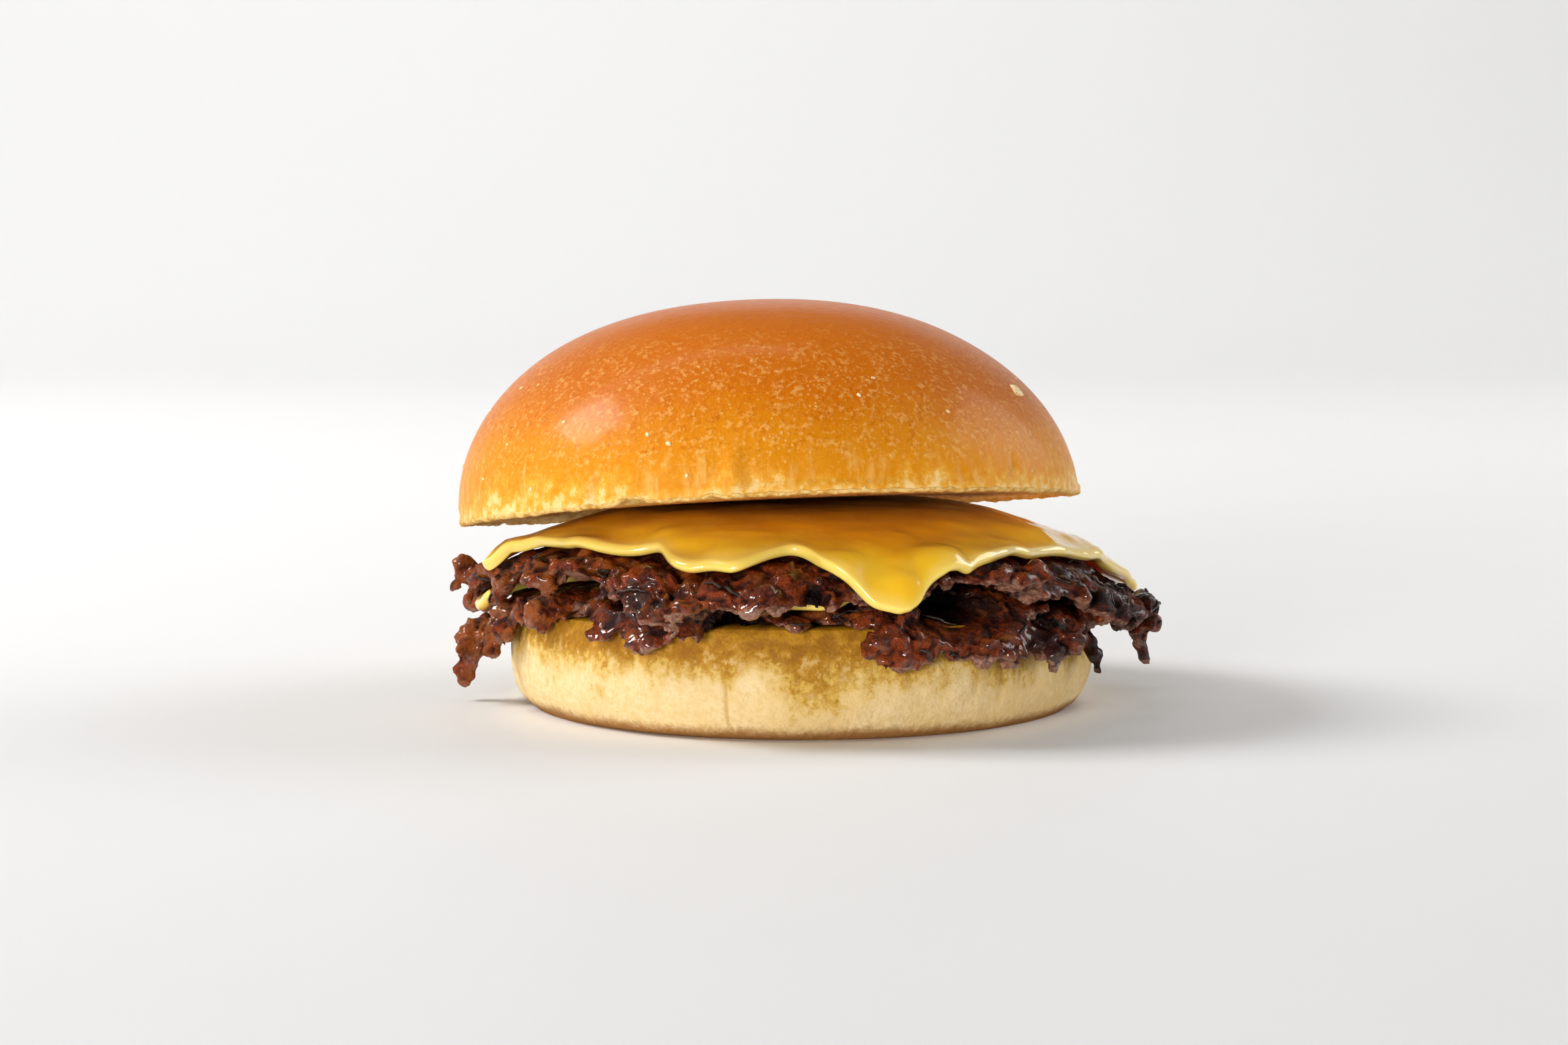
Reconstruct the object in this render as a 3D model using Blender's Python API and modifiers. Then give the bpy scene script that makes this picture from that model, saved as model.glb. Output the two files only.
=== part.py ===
"""A double cheeseburger: the crown and heel of a soft bun, two thin smashed beef patties
with lacy edges, and a melted slice of cheese on each patty. Every layer is one solid.

Metres, +Z up. The origin is the centre of the heel's base, and the side with the
hanging corner of cheese faces -Y. Azimuths are in degrees from the front (-Y), and grow
towards +X. The layers are built from the plate up: each one is shaped over the height
map of what already lies below it, so soft layers sag over the real edges under them.
"""

import math
import random
from collections import namedtuple

import bmesh
import bpy
import numpy as np
from mathutils import Matrix, Vector, noise
from mathutils.bvhtree import BVHTree

MM = 0.001

# Driving dimensions
BUN_RADIUS = 50.1 * MM
CROWN_HEIGHT = 34.0 * MM
HEEL_RADIUS = 47.2 * MM
HEEL_HEIGHT = 17.4 * MM  # at the front
PATTY_THICKNESS = 5.6 * MM  # in the middle
SLICE_THICKNESS = 1.8 * MM
GAP = 0.4 * MM  # between one layer and the next

# Bun
HEEL_BASE_RADIUS = 44 * MM
HEEL_BACK_DROP = 3.2 * MM  # the heel was cut thinner towards the back
CROWN_CENTRE = Vector((-5.0 * MM, 0, 31.0 * MM))
CROWN_ROLL = 0.4  # degrees, right side up
CROWN_PITCH = 6.0  # degrees, front up
CROWN_CUT_TILT = 2.5  # degrees, as the bun was cut thicker on the left
CROWN_POWER = 2.1  # 2 is an ellipse, and more is a squarer shoulder
CROWN_FULLER_LEFT = 0.05
CROWN_CUT_HOLLOW = 1.4 * MM
CROWN_FRONT_ARCH = 1.7 * MM
BUN_STEPS = 48

# Slices of cheese. A drip is where the melted rim has run out beyond the square.
Drip = namedtuple("Drip", "azimuth half_width reach")  # degrees and millimetres
Slice = namedtuple("Slice", "side corner centre turn cells drips")

UPPER_SLICE = Slice(
    side=88 * MM,
    corner=6 * MM,
    centre=Vector((0.5 * MM, -0.5 * MM)),
    turn=63,
    cells=22,
    drips=(Drip(19, 11, -4.0), Drip(0, 9, -4.5), Drip(-16, 9, 5.5), Drip(-45, 18, -2.0)),
)
LOWER_SLICE = Slice(
    side=77 * MM,
    corner=13 * MM,
    centre=Vector((-3.5 * MM, 2.5 * MM)),
    turn=50,
    cells=14,
    drips=(Drip(5, 14, 3.0), Drip(-85, 14, 2.0)),
)
SLICE_FALL = 2.2  # steepest slope that a hanging slice takes
LIP_WIDTH = 1.6 * MM
LIP_ROUND = 0.4 * MM

# Height maps
MAP_HALF = 68 * MM
MAP_CELL = 1.0 * MM

# Patties. Each rim runs through its folds: how far out the rim is there, how far it hangs
# and how thickly it was pressed.
Fold = namedtuple("Fold", "azimuth radius drop thick")  # degrees and millimetres
Strand = namedtuple("Strand", "azimuth radius top length girth")
Patty = namedtuple("Patty", "level edge folds strands crumbs triangles seed")

LOWER_PATTY = Patty(
    level=HEEL_HEIGHT,
    edge=42 * MM,  # beyond this radius it hangs
    folds=(
        Fold(-92, 54, 8.0, 2.2),  # left end, with a long shred
        Fold(-72, 51, 7.5, 3.0),
        Fold(-60, 50, 5.5, 3.8),
        Fold(-50, 46, 0.3, 3.8),
        Fold(-36, 50, 3.8, 4.2),
        Fold(-20, 49, 3.4, 4.2),
        Fold(-7, 46, 0.6, 4.0),  # drawn back, so the heel's edge shows
        Fold(6, 46, 0.6, 4.0),
        Fold(16, 50, 5.5, 4.2),
        Fold(34, 51, 6.4, 4.2),  # wide flap over the heel
        Fold(50, 51, 6.0, 3.6),
        Fold(64, 50, 7.0, 2.6),
        Fold(82, 48, 3.5, 2.2),
        Fold(128, 49, 2.5, 2.4),
        Fold(150, 51, 5.0, 2.4),
        Fold(172, 48, 1.0, 2.4),
        Fold(196, 51, 4.0, 2.4),
        Fold(222, 49, 1.5, 2.4),
        Fold(246, 52, 5.0, 2.2),
    ),
    strands=(
        Strand(-88, 54.5, 9.0, 5.5, 2.1),
        Strand(66, 51, 9.5, 2.5, 1.3),
        Strand(143, 54, 9.5, 4.5, 1.4),
        Strand(211, 53, 9.0, 4.0, 1.2),
    ),
    crumbs=120,
    triangles=3900,
    seed=5,
)
UPPER_PATTY = Patty(
    level=HEEL_HEIGHT + 0.85 * PATTY_THICKNESS + SLICE_THICKNESS + 2 * GAP,
    edge=30 * MM,
    folds=(
        Fold(-95, 55.5, 9.5, 2.2),  # left end
        Fold(-78, 53, 8.0, 3.2),
        Fold(-64, 49, 0.6, 4.4),  # lifted off the lower patty
        Fold(-52, 50, 0.6, 4.2),
        Fold(-38, 51, 3.5, 4.4),
        Fold(-24, 53, 6.5, 4.4),  # lumps that hang over the lower patty
        Fold(-12, 52, 5.0, 4.4),
        Fold(2, 51, 5.0, 4.2),
        Fold(14, 50, 4.0, 4.2),
        Fold(26, 49, 1.2, 4.0),  # lifted again
        Fold(40, 50, 1.6, 3.8),
        Fold(54, 51, 5.0, 3.2),
        Fold(68, 54, 8.0, 3.4),
        Fold(84, 57, 10.5, 3.0),  # right end, charred
        Fold(100, 56, 10.0, 2.4),
        Fold(125, 53, 7.0, 2.4),
        Fold(150, 54, 8.0, 2.2),
        Fold(172, 51, 6.0, 2.2),
        Fold(200, 53, 7.0, 2.2),
        Fold(225, 51, 5.5, 2.2),
        Fold(246, 54, 8.0, 2.2),
    ),
    strands=(
        Strand(86, 55.5, 12.5, 5.5, 1.6),
        Strand(156, 57, 14.0, 4.0, 1.3),
        Strand(-95, 57, 18.5, 1.5, 1.4),
    ),
    crumbs=130,
    triangles=3900,
    seed=11,
)
STRAND_BEADS = 5
REMESH_CELL = 0.9 * MM

MATERIALS = {
    "crust": ((0.62, 0.24, 0.035), 0.32),
    "bread": ((0.80, 0.58, 0.28), 0.75),
    "cheese": ((0.90, 0.46, 0.03), 0.28),
    "beef": ((0.085, 0.022, 0.012), 0.35),
}


def direction(azimuth):
    """The level unit vector at this azimuth."""
    a = math.radians(azimuth)
    return Vector((math.sin(a), -math.cos(a), 0))


def azimuth_of(point):
    return math.degrees(math.atan2(point.x, -point.y))


def smooth_bump(t):
    """1 at t = 0, falling to 0 at t = -1 and 1."""
    return math.cos(min(abs(t), 1) * math.pi / 2) ** 2


def wobble(point, size, seed=0.0):
    """Smooth noise from -1 to 1 whose bumps are about `size` apart."""
    return noise.noise(Vector(point) / size + Vector((seed, 2 * seed, -seed)))


def material(name):
    colour, roughness = MATERIALS[name]
    made = bpy.data.materials.new(name)
    made.use_nodes = True
    shader = made.node_tree.nodes["Principled BSDF"]
    shader.inputs["Base Color"].default_value = (*colour, 1)
    shader.inputs["Roughness"].default_value = roughness
    made.diffuse_color = (*colour, 1)
    return made


def new_object(name, bm, finish, collection):
    """Ends a bmesh as a named object with outward faces and one material."""
    bmesh.ops.recalc_face_normals(bm, faces=bm.faces)
    mesh = bpy.data.meshes.new(name)
    bm.to_mesh(mesh)
    bm.free()
    mesh.materials.append(finish)
    mesh.shade_smooth()
    mesh.set_sharp_from_angle(angle=math.radians(50))
    made = bpy.data.objects.new(name, mesh)
    collection.objects.link(made)
    return made


class HeightMap:
    """A height over each cell of a square grid."""

    def __init__(self, z):
        self.z = z
        self.side = len(z)

    @classmethod
    def over(cls, objects):
        """The highest point of some objects over each cell, and 0 where there is none."""
        side = 2 * round(MAP_HALF / MAP_CELL) + 1
        trees = [
            BVHTree.FromPolygons([v.co for v in o.data.vertices], [p.vertices for p in o.data.polygons])
            for o in objects
        ]
        z = np.zeros((side, side))
        for i in range(side):
            for j in range(side):
                above = Vector((i * MAP_CELL - MAP_HALF, j * MAP_CELL - MAP_HALF, 1.0))
                hits = [tree.ray_cast(above, Vector((0, 0, -1)))[0] for tree in trees]
                z[i, j] = max([0.0] + [hit.z for hit in hits if hit])
        return cls(z)

    def shifted(self, step):
        return np.roll(self.z, step, (0, 1))

    def widened(self, reach):
        """Each cell takes the highest value within `reach`, so a sheet on it clears every crag."""
        cells = range(-math.ceil(reach / MAP_CELL), math.ceil(reach / MAP_CELL) + 1)
        steps = [(i, j) for i in cells for j in cells if math.hypot(i, j) * MAP_CELL <= reach]
        return HeightMap(np.max([self.shifted(step) for step in steps], axis=0))

    def skirted(self, fall):
        """Hangs a skirt of slope `fall` from every edge."""
        steps = [(i, j) for i in (-1, 0, 1) for j in (-1, 0, 1)]
        made = self
        for _ in range(math.ceil(self.z.max() / (fall * MAP_CELL))):
            lowered = [made.shifted(step) - fall * MAP_CELL * math.hypot(*step) for step in steps]
            made = HeightMap(np.max(lowered, axis=0))
        return made

    def eased(self, rounds):
        """Smooths the map, but never below what it was."""
        made = self
        for _ in range(rounds):
            near = sum(made.shifted(step) for step in ((0, 0), (1, 0), (-1, 0), (0, 1), (0, -1)))
            made = HeightMap(np.maximum(self.z, near / 5))
        return made

    def at(self, x, y):
        i = min(max((x + MAP_HALF) / MAP_CELL, 0), self.side - 1.001)
        j = min(max((y + MAP_HALF) / MAP_CELL, 0), self.side - 1.001)
        a, b = int(i), int(j)
        u, v = i - a, j - b
        low = self.z[a, b] * (1 - v) + self.z[a, b + 1] * v
        high = self.z[a + 1, b] * (1 - v) + self.z[a + 1, b + 1] * v
        return float(low * (1 - u) + high * u)


def turned(profile, steps):
    """A closed round shape from (radius, height) points, from the axis at the top to the axis below."""
    bm = bmesh.new()
    points = [bm.verts.new((radius, 0, height)) for radius, height in profile]
    edges = [bm.edges.new(pair) for pair in zip(points, points[1:])]
    bmesh.ops.spin(
        bm, geom=points + edges, axis=(0, 0, 1), cent=(0, 0, 0), angle=math.tau, steps=steps, use_merge=True
    )
    bmesh.ops.remove_doubles(bm, verts=bm.verts, dist=0.01 * MM)
    return bm


def heel_profile():
    """Half the heel's section: cut face, soft top edge, bulging side and flat base."""
    cut = [(HEEL_RADIUS * share, HEEL_HEIGHT) for share in (0, 0.25, 0.5, 0.72, 0.88)]
    side = []
    for degrees in (62, 30, 0, -25, -48, -68):
        a = math.radians(degrees)
        middle = 0.52 * HEEL_HEIGHT
        half = middle if degrees < 0 else HEEL_HEIGHT - middle
        inset = (HEEL_RADIUS - HEEL_BASE_RADIUS) * (1.0 if degrees < 0 else 0.42)
        side.append((HEEL_RADIUS - inset * (1 - math.cos(a)) * 1.45, middle + half * math.sin(a)))
    base = [(HEEL_BASE_RADIUS * share, 0.0) for share in (0.97, 0.7, 0.35, 0)]
    return cut + side + base


def heel(finish, collection):
    bm = turned(heel_profile(), BUN_STEPS)
    for v in bm.verts:
        share = v.co.z / HEEL_HEIGHT
        out = v.co.xy.length / HEEL_RADIUS
        lean = wobble(v.co, 26 * MM, 3) * 0.8 * MM + wobble(v.co, 9 * MM, 8) * 0.25 * MM
        if share > 0.01 and out > 0.5:
            v.co.xy *= 1 + lean / HEEL_RADIUS
        v.co.z += (cut_height(v.co.y) - HEEL_HEIGHT) * share
    return new_object("bun_heel", bm, finish, collection)


def turn_between(a, b):
    return (a - b + 180) % 360 - 180


def cut_height(y):
    """Height of the heel's cut face."""
    return HEEL_HEIGHT - HEEL_BACK_DROP * (y / HEEL_RADIUS + 1) / 2


def rim(patty, azimuth):
    """The radius, drop and thickness of a patty's rim, eased from one fold to the next."""
    for fold, following in zip(patty.folds, patty.folds[1:] + patty.folds[:1]):
        span = (following.azimuth - fold.azimuth) % 360
        along = (azimuth - fold.azimuth) % 360
        if along <= span:
            blend = (1 - math.cos(math.pi * along / span)) / 2
            return [(a + (b - a) * blend) * MM for a, b in zip(fold[1:], following[1:])]
    raise ValueError("no fold at azimuth %s" % azimuth)


def outline(patty, azimuth):
    """The rim's radius with its ragged lace."""
    around = direction(azimuth) * 30 * MM
    ragged = 1.5 * MM * wobble(around, 4.5 * MM, patty.seed) + 1.0 * MM * wobble(around, 2 * MM, patty.seed)
    return rim(patty, azimuth)[0] + ragged


def hang(patty, azimuth, out, y):
    """Height of the patty's underside where nothing holds it up."""
    radius, drop, _ = rim(patty, azimuth)
    beyond = max(0.0, out - patty.edge) / (radius - patty.edge)
    return patty.level - HEEL_HEIGHT + cut_height(y) - drop * min(beyond, 1.15) ** 1.6


def underside(patty, support, x, y):
    point = Vector((x, y, 0))
    return max(support.at(x, y) + GAP, hang(patty, azimuth_of(point), point.length, y))


def thickness(patty, azimuth, out):
    """A smashed patty is pressed thin towards its rim."""
    along = min(max((out - 20 * MM) / (26 * MM), 0), 1)
    return PATTY_THICKNESS + (rim(patty, azimuth)[2] - PATTY_THICKNESS) * along * along * (3 - 2 * along)


def patty_core(patty, support):
    """The pressed disc of meat: a sphere flattened onto its support, thinning to the rim."""
    bm = bmesh.new()
    bmesh.ops.create_uvsphere(bm, u_segments=150, v_segments=36, radius=1)
    for v in bm.verts:
        polar = math.acos(max(-1.0, min(1.0, v.co.z)))
        share = min(polar, math.pi - polar) / (math.pi / 2)
        azimuth = azimuth_of(v.co) if share > 0 else 0.0
        flat = direction(azimuth) * outline(patty, azimuth) * share
        bottom = underside(patty, support, flat.x, flat.y)
        relief = 0.2 * wobble(flat, 6 * MM, patty.seed) + 0.15 * wobble(flat, 2.6 * MM, patty.seed)
        relief *= share**3
        thick = thickness(patty, azimuth, flat.length) * (1 + relief) * (1 - share**7) ** 0.5
        pitted = 0.25 * MM * (1 + wobble(flat, 3.5 * MM, patty.seed + 9))
        upper = v.co.z > 0
        v.co = flat + Vector((0, 0, bottom + (thick if upper else min(pitted, 0.3 * thick))))
    return bm


def add_crumb(bm, footing, centre, girth, turn, seed):
    """One nugget of minced meat: a dented egg, moulded over whatever lies under it."""
    made = bmesh.ops.create_icosphere(bm, subdivisions=2, radius=1)["verts"]
    stretch = Matrix.Diagonal((girth * 1.35, girth, girth * 0.85, 1))
    place = Matrix.Translation(centre) @ Matrix.Rotation(turn, 4, "Z") @ stretch
    for v in made:
        v.co = place @ (v.co * (1 + 0.28 * wobble(v.co, 0.9, seed)))
        v.co.z = max(v.co.z, footing.at(v.co.x, v.co.y) + GAP)


def crumble_edge(bm, patty, support, footing):
    """Rows of nuggets over, on and under the rim, which give it its crags."""
    draw = random.Random(patty.seed)
    for index in range(patty.crumbs):
        azimuth = 360 * (index + draw.uniform(-0.4, 0.4)) / patty.crumbs
        girth = draw.uniform(1.1, 2.5) * MM
        radius = outline(patty, azimuth) - draw.uniform(-0.3, 5.5) * MM
        flat = direction(azimuth) * radius
        rise = draw.uniform(-0.1, 0.6) * thickness(patty, azimuth, radius)
        centre = flat + Vector((0, 0, underside(patty, support, flat.x, flat.y) + rise))
        add_crumb(bm, footing, centre, girth, draw.uniform(0, math.tau), index)


def hang_strands(bm, patty, footing):
    """Shreds of meat that dangle from the rim, as strings of ever smaller crumbs."""
    for number, strand in enumerate(patty.strands):
        out = direction(strand.azimuth)
        across = Vector((-out.y, out.x, 0))
        for bead in range(STRAND_BEADS):
            share = bead / (STRAND_BEADS - 1)
            sway = wobble((share * 3, number, 0), 1.0, patty.seed) * strand.girth
            centre = (
                out * (strand.radius * MM - 2.5 * MM * (1 - share) ** 2)
                + across * sway * MM
                + Vector((0, 0, (strand.top + 2.5 * (1 - share) ** 2 - strand.length * share) * MM))
            )
            add_crumb(bm, footing, centre, strand.girth * (1.15 - 0.6 * share) * MM, strand.azimuth, bead)


def keep_largest_shell(bm):
    """Drops loose scraps and the walls of sealed hollows."""
    unseen = set(bm.faces)
    shells = []
    while unseen:
        shell, front = set(), [unseen.pop()]
        while front:
            face = front.pop()
            shell.add(face)
            for edge in face.edges:
                for other in edge.link_faces:
                    if other in unseen:
                        unseen.discard(other)
                        front.append(other)
        shells.append(shell)
    largest = max(shells, key=len)
    scraps = [face for shell in shells if shell is not largest for face in shell]
    bmesh.ops.delete(bm, geom=scraps, context="FACES")


def fused(bm, triangles):
    """Melts overlapping pieces into one skin, then thins it where it is smooth."""
    mesh = bpy.data.meshes.new("fusing")
    bm.to_mesh(mesh)
    bm.free()
    temporary = bpy.data.objects.new("fusing", mesh)
    bpy.context.scene.collection.objects.link(temporary)
    remesh = temporary.modifiers.new("melt", "REMESH")
    remesh.mode = "VOXEL"
    remesh.voxel_size = REMESH_CELL
    melted = bmesh.new()
    graph = bpy.context.evaluated_depsgraph_get()
    melted.from_mesh(temporary.evaluated_get(graph).to_mesh())
    keep_largest_shell(melted)
    bmesh.ops.triangulate(melted, faces=melted.faces)
    melted.to_mesh(mesh)
    temporary.modifiers.clear()
    thin = temporary.modifiers.new("thin", "DECIMATE")
    thin.ratio = triangles / len(melted.faces)
    melted.clear()
    graph = bpy.context.evaluated_depsgraph_get()
    melted.from_mesh(temporary.evaluated_get(graph).to_mesh())
    bpy.data.objects.remove(temporary)
    bpy.data.meshes.remove(mesh)
    return melted


def beef(name, patty, below, finish, collection):
    footing = HeightMap.over(below).widened(2 * MM)
    support = footing.skirted(3.0)
    bm = patty_core(patty, support)
    crumble_edge(bm, patty, support, footing)
    hang_strands(bm, patty, footing)
    return new_object(name, fused(bm, patty.triangles), finish, collection)


def slice_outline(piece, x, y):
    """A point of the flat slice, from its place in a square from -1 to 1."""
    half = piece.side / 2
    point = Vector((x * half, y * half))
    inner = half - piece.corner
    if abs(point.x) > inner and abs(point.y) > inner:
        corner = Vector((math.copysign(inner, point.x), math.copysign(inner, point.y)))
        over = point - corner
        point = corner + over.normalized() * max(abs(over.x), abs(over.y))
    point = Matrix.Rotation(math.radians(piece.turn), 2) @ point
    share = max(abs(x), abs(y))
    azimuth = azimuth_of(point)
    run = sum(
        drip.reach * smooth_bump(turn_between(azimuth, drip.azimuth) / drip.half_width) for drip in piece.drips
    )
    wave = 0.8 * wobble((point.x, point.y, 0), 9 * MM, piece.turn)
    return point + point.normalized() * (run + wave) * MM * share**5 if share > 0 else point


def laid_out(support, centre, flat):
    """Where a point of the flat slice comes to lie: the same way along the sagging surface."""
    length = flat.length
    if length < 1e-9:
        return centre.copy()
    step = 1.0 * MM
    along = flat.normalized()
    spot, walked = centre.copy(), 0.0
    while walked < length:
        part = min(step, length - walked)
        ahead = spot + along * part
        rise = support.at(ahead.x, ahead.y) - support.at(spot.x, spot.y)
        spot += along * part * part / math.hypot(part, rise)
        walked += part
    return spot


def cheese(name, piece, below, finish, collection):
    """A square slice laid over the meat and melted on to it, with a fuller lip round its edge."""
    support = HeightMap.over(below).widened(0.56 * piece.side / piece.cells).skirted(SLICE_FALL).eased(6)
    bm = bmesh.new()
    bmesh.ops.create_grid(bm, x_segments=piece.cells, y_segments=piece.cells, size=1)
    edge_share = bm.verts.layers.float.new("edge_share")
    outward = bm.verts.layers.float_vector.new("outward")
    last_cell = 1 - 2 / piece.cells
    squeeze = (1 - LIP_WIDTH * 2 / piece.side) / last_cell
    for v in bm.verts:
        x, y = (c * squeeze if abs(c) < last_cell + 0.01 else c for c in v.co.xy)
        v[edge_share] = max(abs(x), abs(y))
        spot = laid_out(support, piece.centre, slice_outline(piece, x, y))
        v.co = (spot.x, spot.y, support.at(spot.x, spot.y) + GAP)
    bm.normal_update()
    for v in bm.verts:
        v[outward] = v.normal if v.normal.z > 0 else -v.normal
    skin = bmesh.ops.extrude_face_region(bm, geom=list(bm.faces), use_keep_orig=True)
    top = [item for item in skin["geom"] if isinstance(item, bmesh.types.BMVert)]
    for v in top:
        at_rim = v[edge_share] > 0.999
        inward = (piece.centre - v.co.xy).normalized().to_3d() * LIP_ROUND * at_rim
        v.co += v[outward] * SLICE_THICKNESS * (0.6 if at_rim else 1) + inward
    return new_object(name, bm, finish, collection)


def crown_profile():
    """Half the crown's section in its own frame: the dome, then the cut face."""
    dome = []
    for index in range(13):
        a = math.radians(90 - 90 * index / 12)
        radius = BUN_RADIUS * math.cos(a) ** (2 / CROWN_POWER)
        dome.append((max(radius, 0.0), CROWN_HEIGHT * max(math.sin(a), 0.0) ** (2 / CROWN_POWER)))
    dome[0] = (0.0, CROWN_HEIGHT)
    lip = [(BUN_RADIUS - 0.9 * MM, -0.2 * MM)]
    cut = [
        (BUN_RADIUS * share, CROWN_CUT_HOLLOW * (1 - share**2))
        for share in (0.88, 0.74, 0.58, 0.4, 0.2, 0)
    ]
    return dome + lip + cut


def crown_pose():
    tilt = Matrix.Rotation(math.radians(-CROWN_ROLL), 4, "Y") @ Matrix.Rotation(math.radians(-CROWN_PITCH), 4, "X")
    return Matrix.Translation(CROWN_CENTRE) @ tilt


def crown(below, finish, collection):
    support = HeightMap.over(below).widened(4 * MM)
    bm = turned(crown_profile(), BUN_STEPS)
    for v in bm.verts:
        out = v.co.xy.length / BUN_RADIUS
        height = v.co.z / CROWN_HEIGHT
        if height > 0.05:
            fuller = CROWN_FULLER_LEFT * -v.co.x / BUN_RADIUS * height * (1 - height)
            v.co.xy *= 1 + fuller + 0.012 * wobble(v.co, 30 * MM, 4)
            v.co.z += 0.5 * MM * wobble(v.co, 24 * MM, 6)
        front = max(0.0, -v.co.y / BUN_RADIUS) ** 2 * max(0.0, 1 - 2.5 * height)
        v.co.z += CROWN_FRONT_ARCH * front * out
        v.co.z += v.co.x * math.tan(math.radians(CROWN_CUT_TILT)) * max(0.0, 1 - height) ** 3
    bmesh.ops.transform(bm, matrix=crown_pose(), verts=bm.verts)
    for v in bm.verts:
        # The soft cut face gives way to what it rests on
        pressed = support.at(v.co.x, v.co.y) + GAP
        if v.co.z < pressed:
            v.co.z = pressed
    return new_object("bun_crown", bm, finish, collection)


def main():
    for old in list(bpy.data.objects):
        bpy.data.objects.remove(old, do_unlink=True)
    burger = bpy.data.collections.new("cheeseburger")
    bpy.context.scene.collection.children.link(burger)
    finishes = {name: material(name) for name in MATERIALS}

    stack = [heel(finishes["bread"], burger)]
    stack.append(beef("patty_lower", LOWER_PATTY, stack, finishes["beef"], burger))
    stack.append(cheese("cheese_lower", LOWER_SLICE, stack, finishes["cheese"], burger))
    stack.append(beef("patty_upper", UPPER_PATTY, stack, finishes["beef"], burger))
    stack.append(cheese("cheese_upper", UPPER_SLICE, stack, finishes["cheese"], burger))
    stack.append(crown(stack, finishes["crust"], burger))


main()
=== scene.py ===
# %% [markdown]
# # A double cheeseburger, layer by layer
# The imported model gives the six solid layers: heel, meat, cheese, meat, cheese, crown. This
# lesson dresses each one. Every piece is made in metres at its own place on the part, with
# the heel's base at the origin and the hanging corner of cheese towards -Y.

# %% Load the solid layers
import math
import random
from collections import namedtuple

import bmesh
import bpy
import numpy as np
from mathutils import Matrix, Vector, noise
from mathutils.bvhtree import BVHTree


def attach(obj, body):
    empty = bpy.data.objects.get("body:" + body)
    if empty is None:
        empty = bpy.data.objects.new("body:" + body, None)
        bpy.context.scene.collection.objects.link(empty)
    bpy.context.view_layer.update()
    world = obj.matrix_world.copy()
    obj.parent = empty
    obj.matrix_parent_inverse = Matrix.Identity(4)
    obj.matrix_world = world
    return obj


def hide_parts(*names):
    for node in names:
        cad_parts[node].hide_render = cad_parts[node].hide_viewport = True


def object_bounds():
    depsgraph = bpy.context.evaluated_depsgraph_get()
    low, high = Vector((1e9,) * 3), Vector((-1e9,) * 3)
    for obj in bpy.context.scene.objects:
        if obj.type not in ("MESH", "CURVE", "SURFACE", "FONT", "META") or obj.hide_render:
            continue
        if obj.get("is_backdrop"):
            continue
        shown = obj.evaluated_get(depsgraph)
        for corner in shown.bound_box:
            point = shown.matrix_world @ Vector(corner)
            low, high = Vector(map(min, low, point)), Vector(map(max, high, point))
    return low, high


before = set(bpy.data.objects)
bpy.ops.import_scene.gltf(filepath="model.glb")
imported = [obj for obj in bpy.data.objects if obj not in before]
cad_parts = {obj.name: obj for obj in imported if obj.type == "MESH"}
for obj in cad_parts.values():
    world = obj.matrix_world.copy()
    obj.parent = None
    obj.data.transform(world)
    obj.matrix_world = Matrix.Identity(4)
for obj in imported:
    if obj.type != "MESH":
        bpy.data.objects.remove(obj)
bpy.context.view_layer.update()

MM = 0.001
print("solid layers:", sorted(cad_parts))


def linked(name, data):
    """A new object in the scene, at the origin."""
    made = bpy.data.objects.new(name, data)
    bpy.context.scene.collection.objects.link(made)
    return made


def mesh_from(name, bm):
    mesh = bpy.data.meshes.new(name)
    bm.to_mesh(mesh)
    bm.free()
    return mesh



# %% [markdown]
# ## Camera
# The burger was seen almost level, from a little above the crown's rim. A long lens from
# 0.6 m keeps the layers nearly parallel, so the gaps between them stay open.

# %% Camera
CAMERA_PITCH = 5.639  # degrees below level
camera_data = bpy.data.cameras.new("burger_camera")
camera_data.sensor_width = 36
camera_data.lens = 85.494
camera = linked("burger_camera", camera_data)
camera.location = (-2.76 * MM, -600 * MM, 88 * MM)
camera.rotation_euler = (math.radians(90 - CAMERA_PITCH), 0, 0)
bpy.context.scene.camera = camera
bpy.context.scene.view_settings.view_transform = "Standard"
print("lens", camera_data.lens, "mm")

# %% [markdown]
# ## Shader maths as Python
# A material is a sum of patterns, so it reads best as an expression. `Flow` wraps one output
# socket and turns `a * b + 1` into Math nodes. Any other node comes from `Finish.node`.


# %% Flow, a socket that takes part in an expression
class Flow:
    def __init__(self, finish, socket):
        self.finish = finish
        self.socket = socket

    def math(self, operation, *values):
        return self.finish.node("ShaderNodeMath", {"operation": operation}, dict(enumerate(values)))

    def __add__(self, other):
        return self.math("ADD", self, other)

    def __radd__(self, other):
        return self.math("ADD", other, self)

    def __sub__(self, other):
        return self.math("SUBTRACT", self, other)

    def __rsub__(self, other):
        return self.math("SUBTRACT", other, self)

    def __mul__(self, other):
        return self.math("MULTIPLY", self, other)

    def __rmul__(self, other):
        return self.math("MULTIPLY", other, self)

    def __truediv__(self, other):
        return self.math("DIVIDE", self, other)


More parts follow.
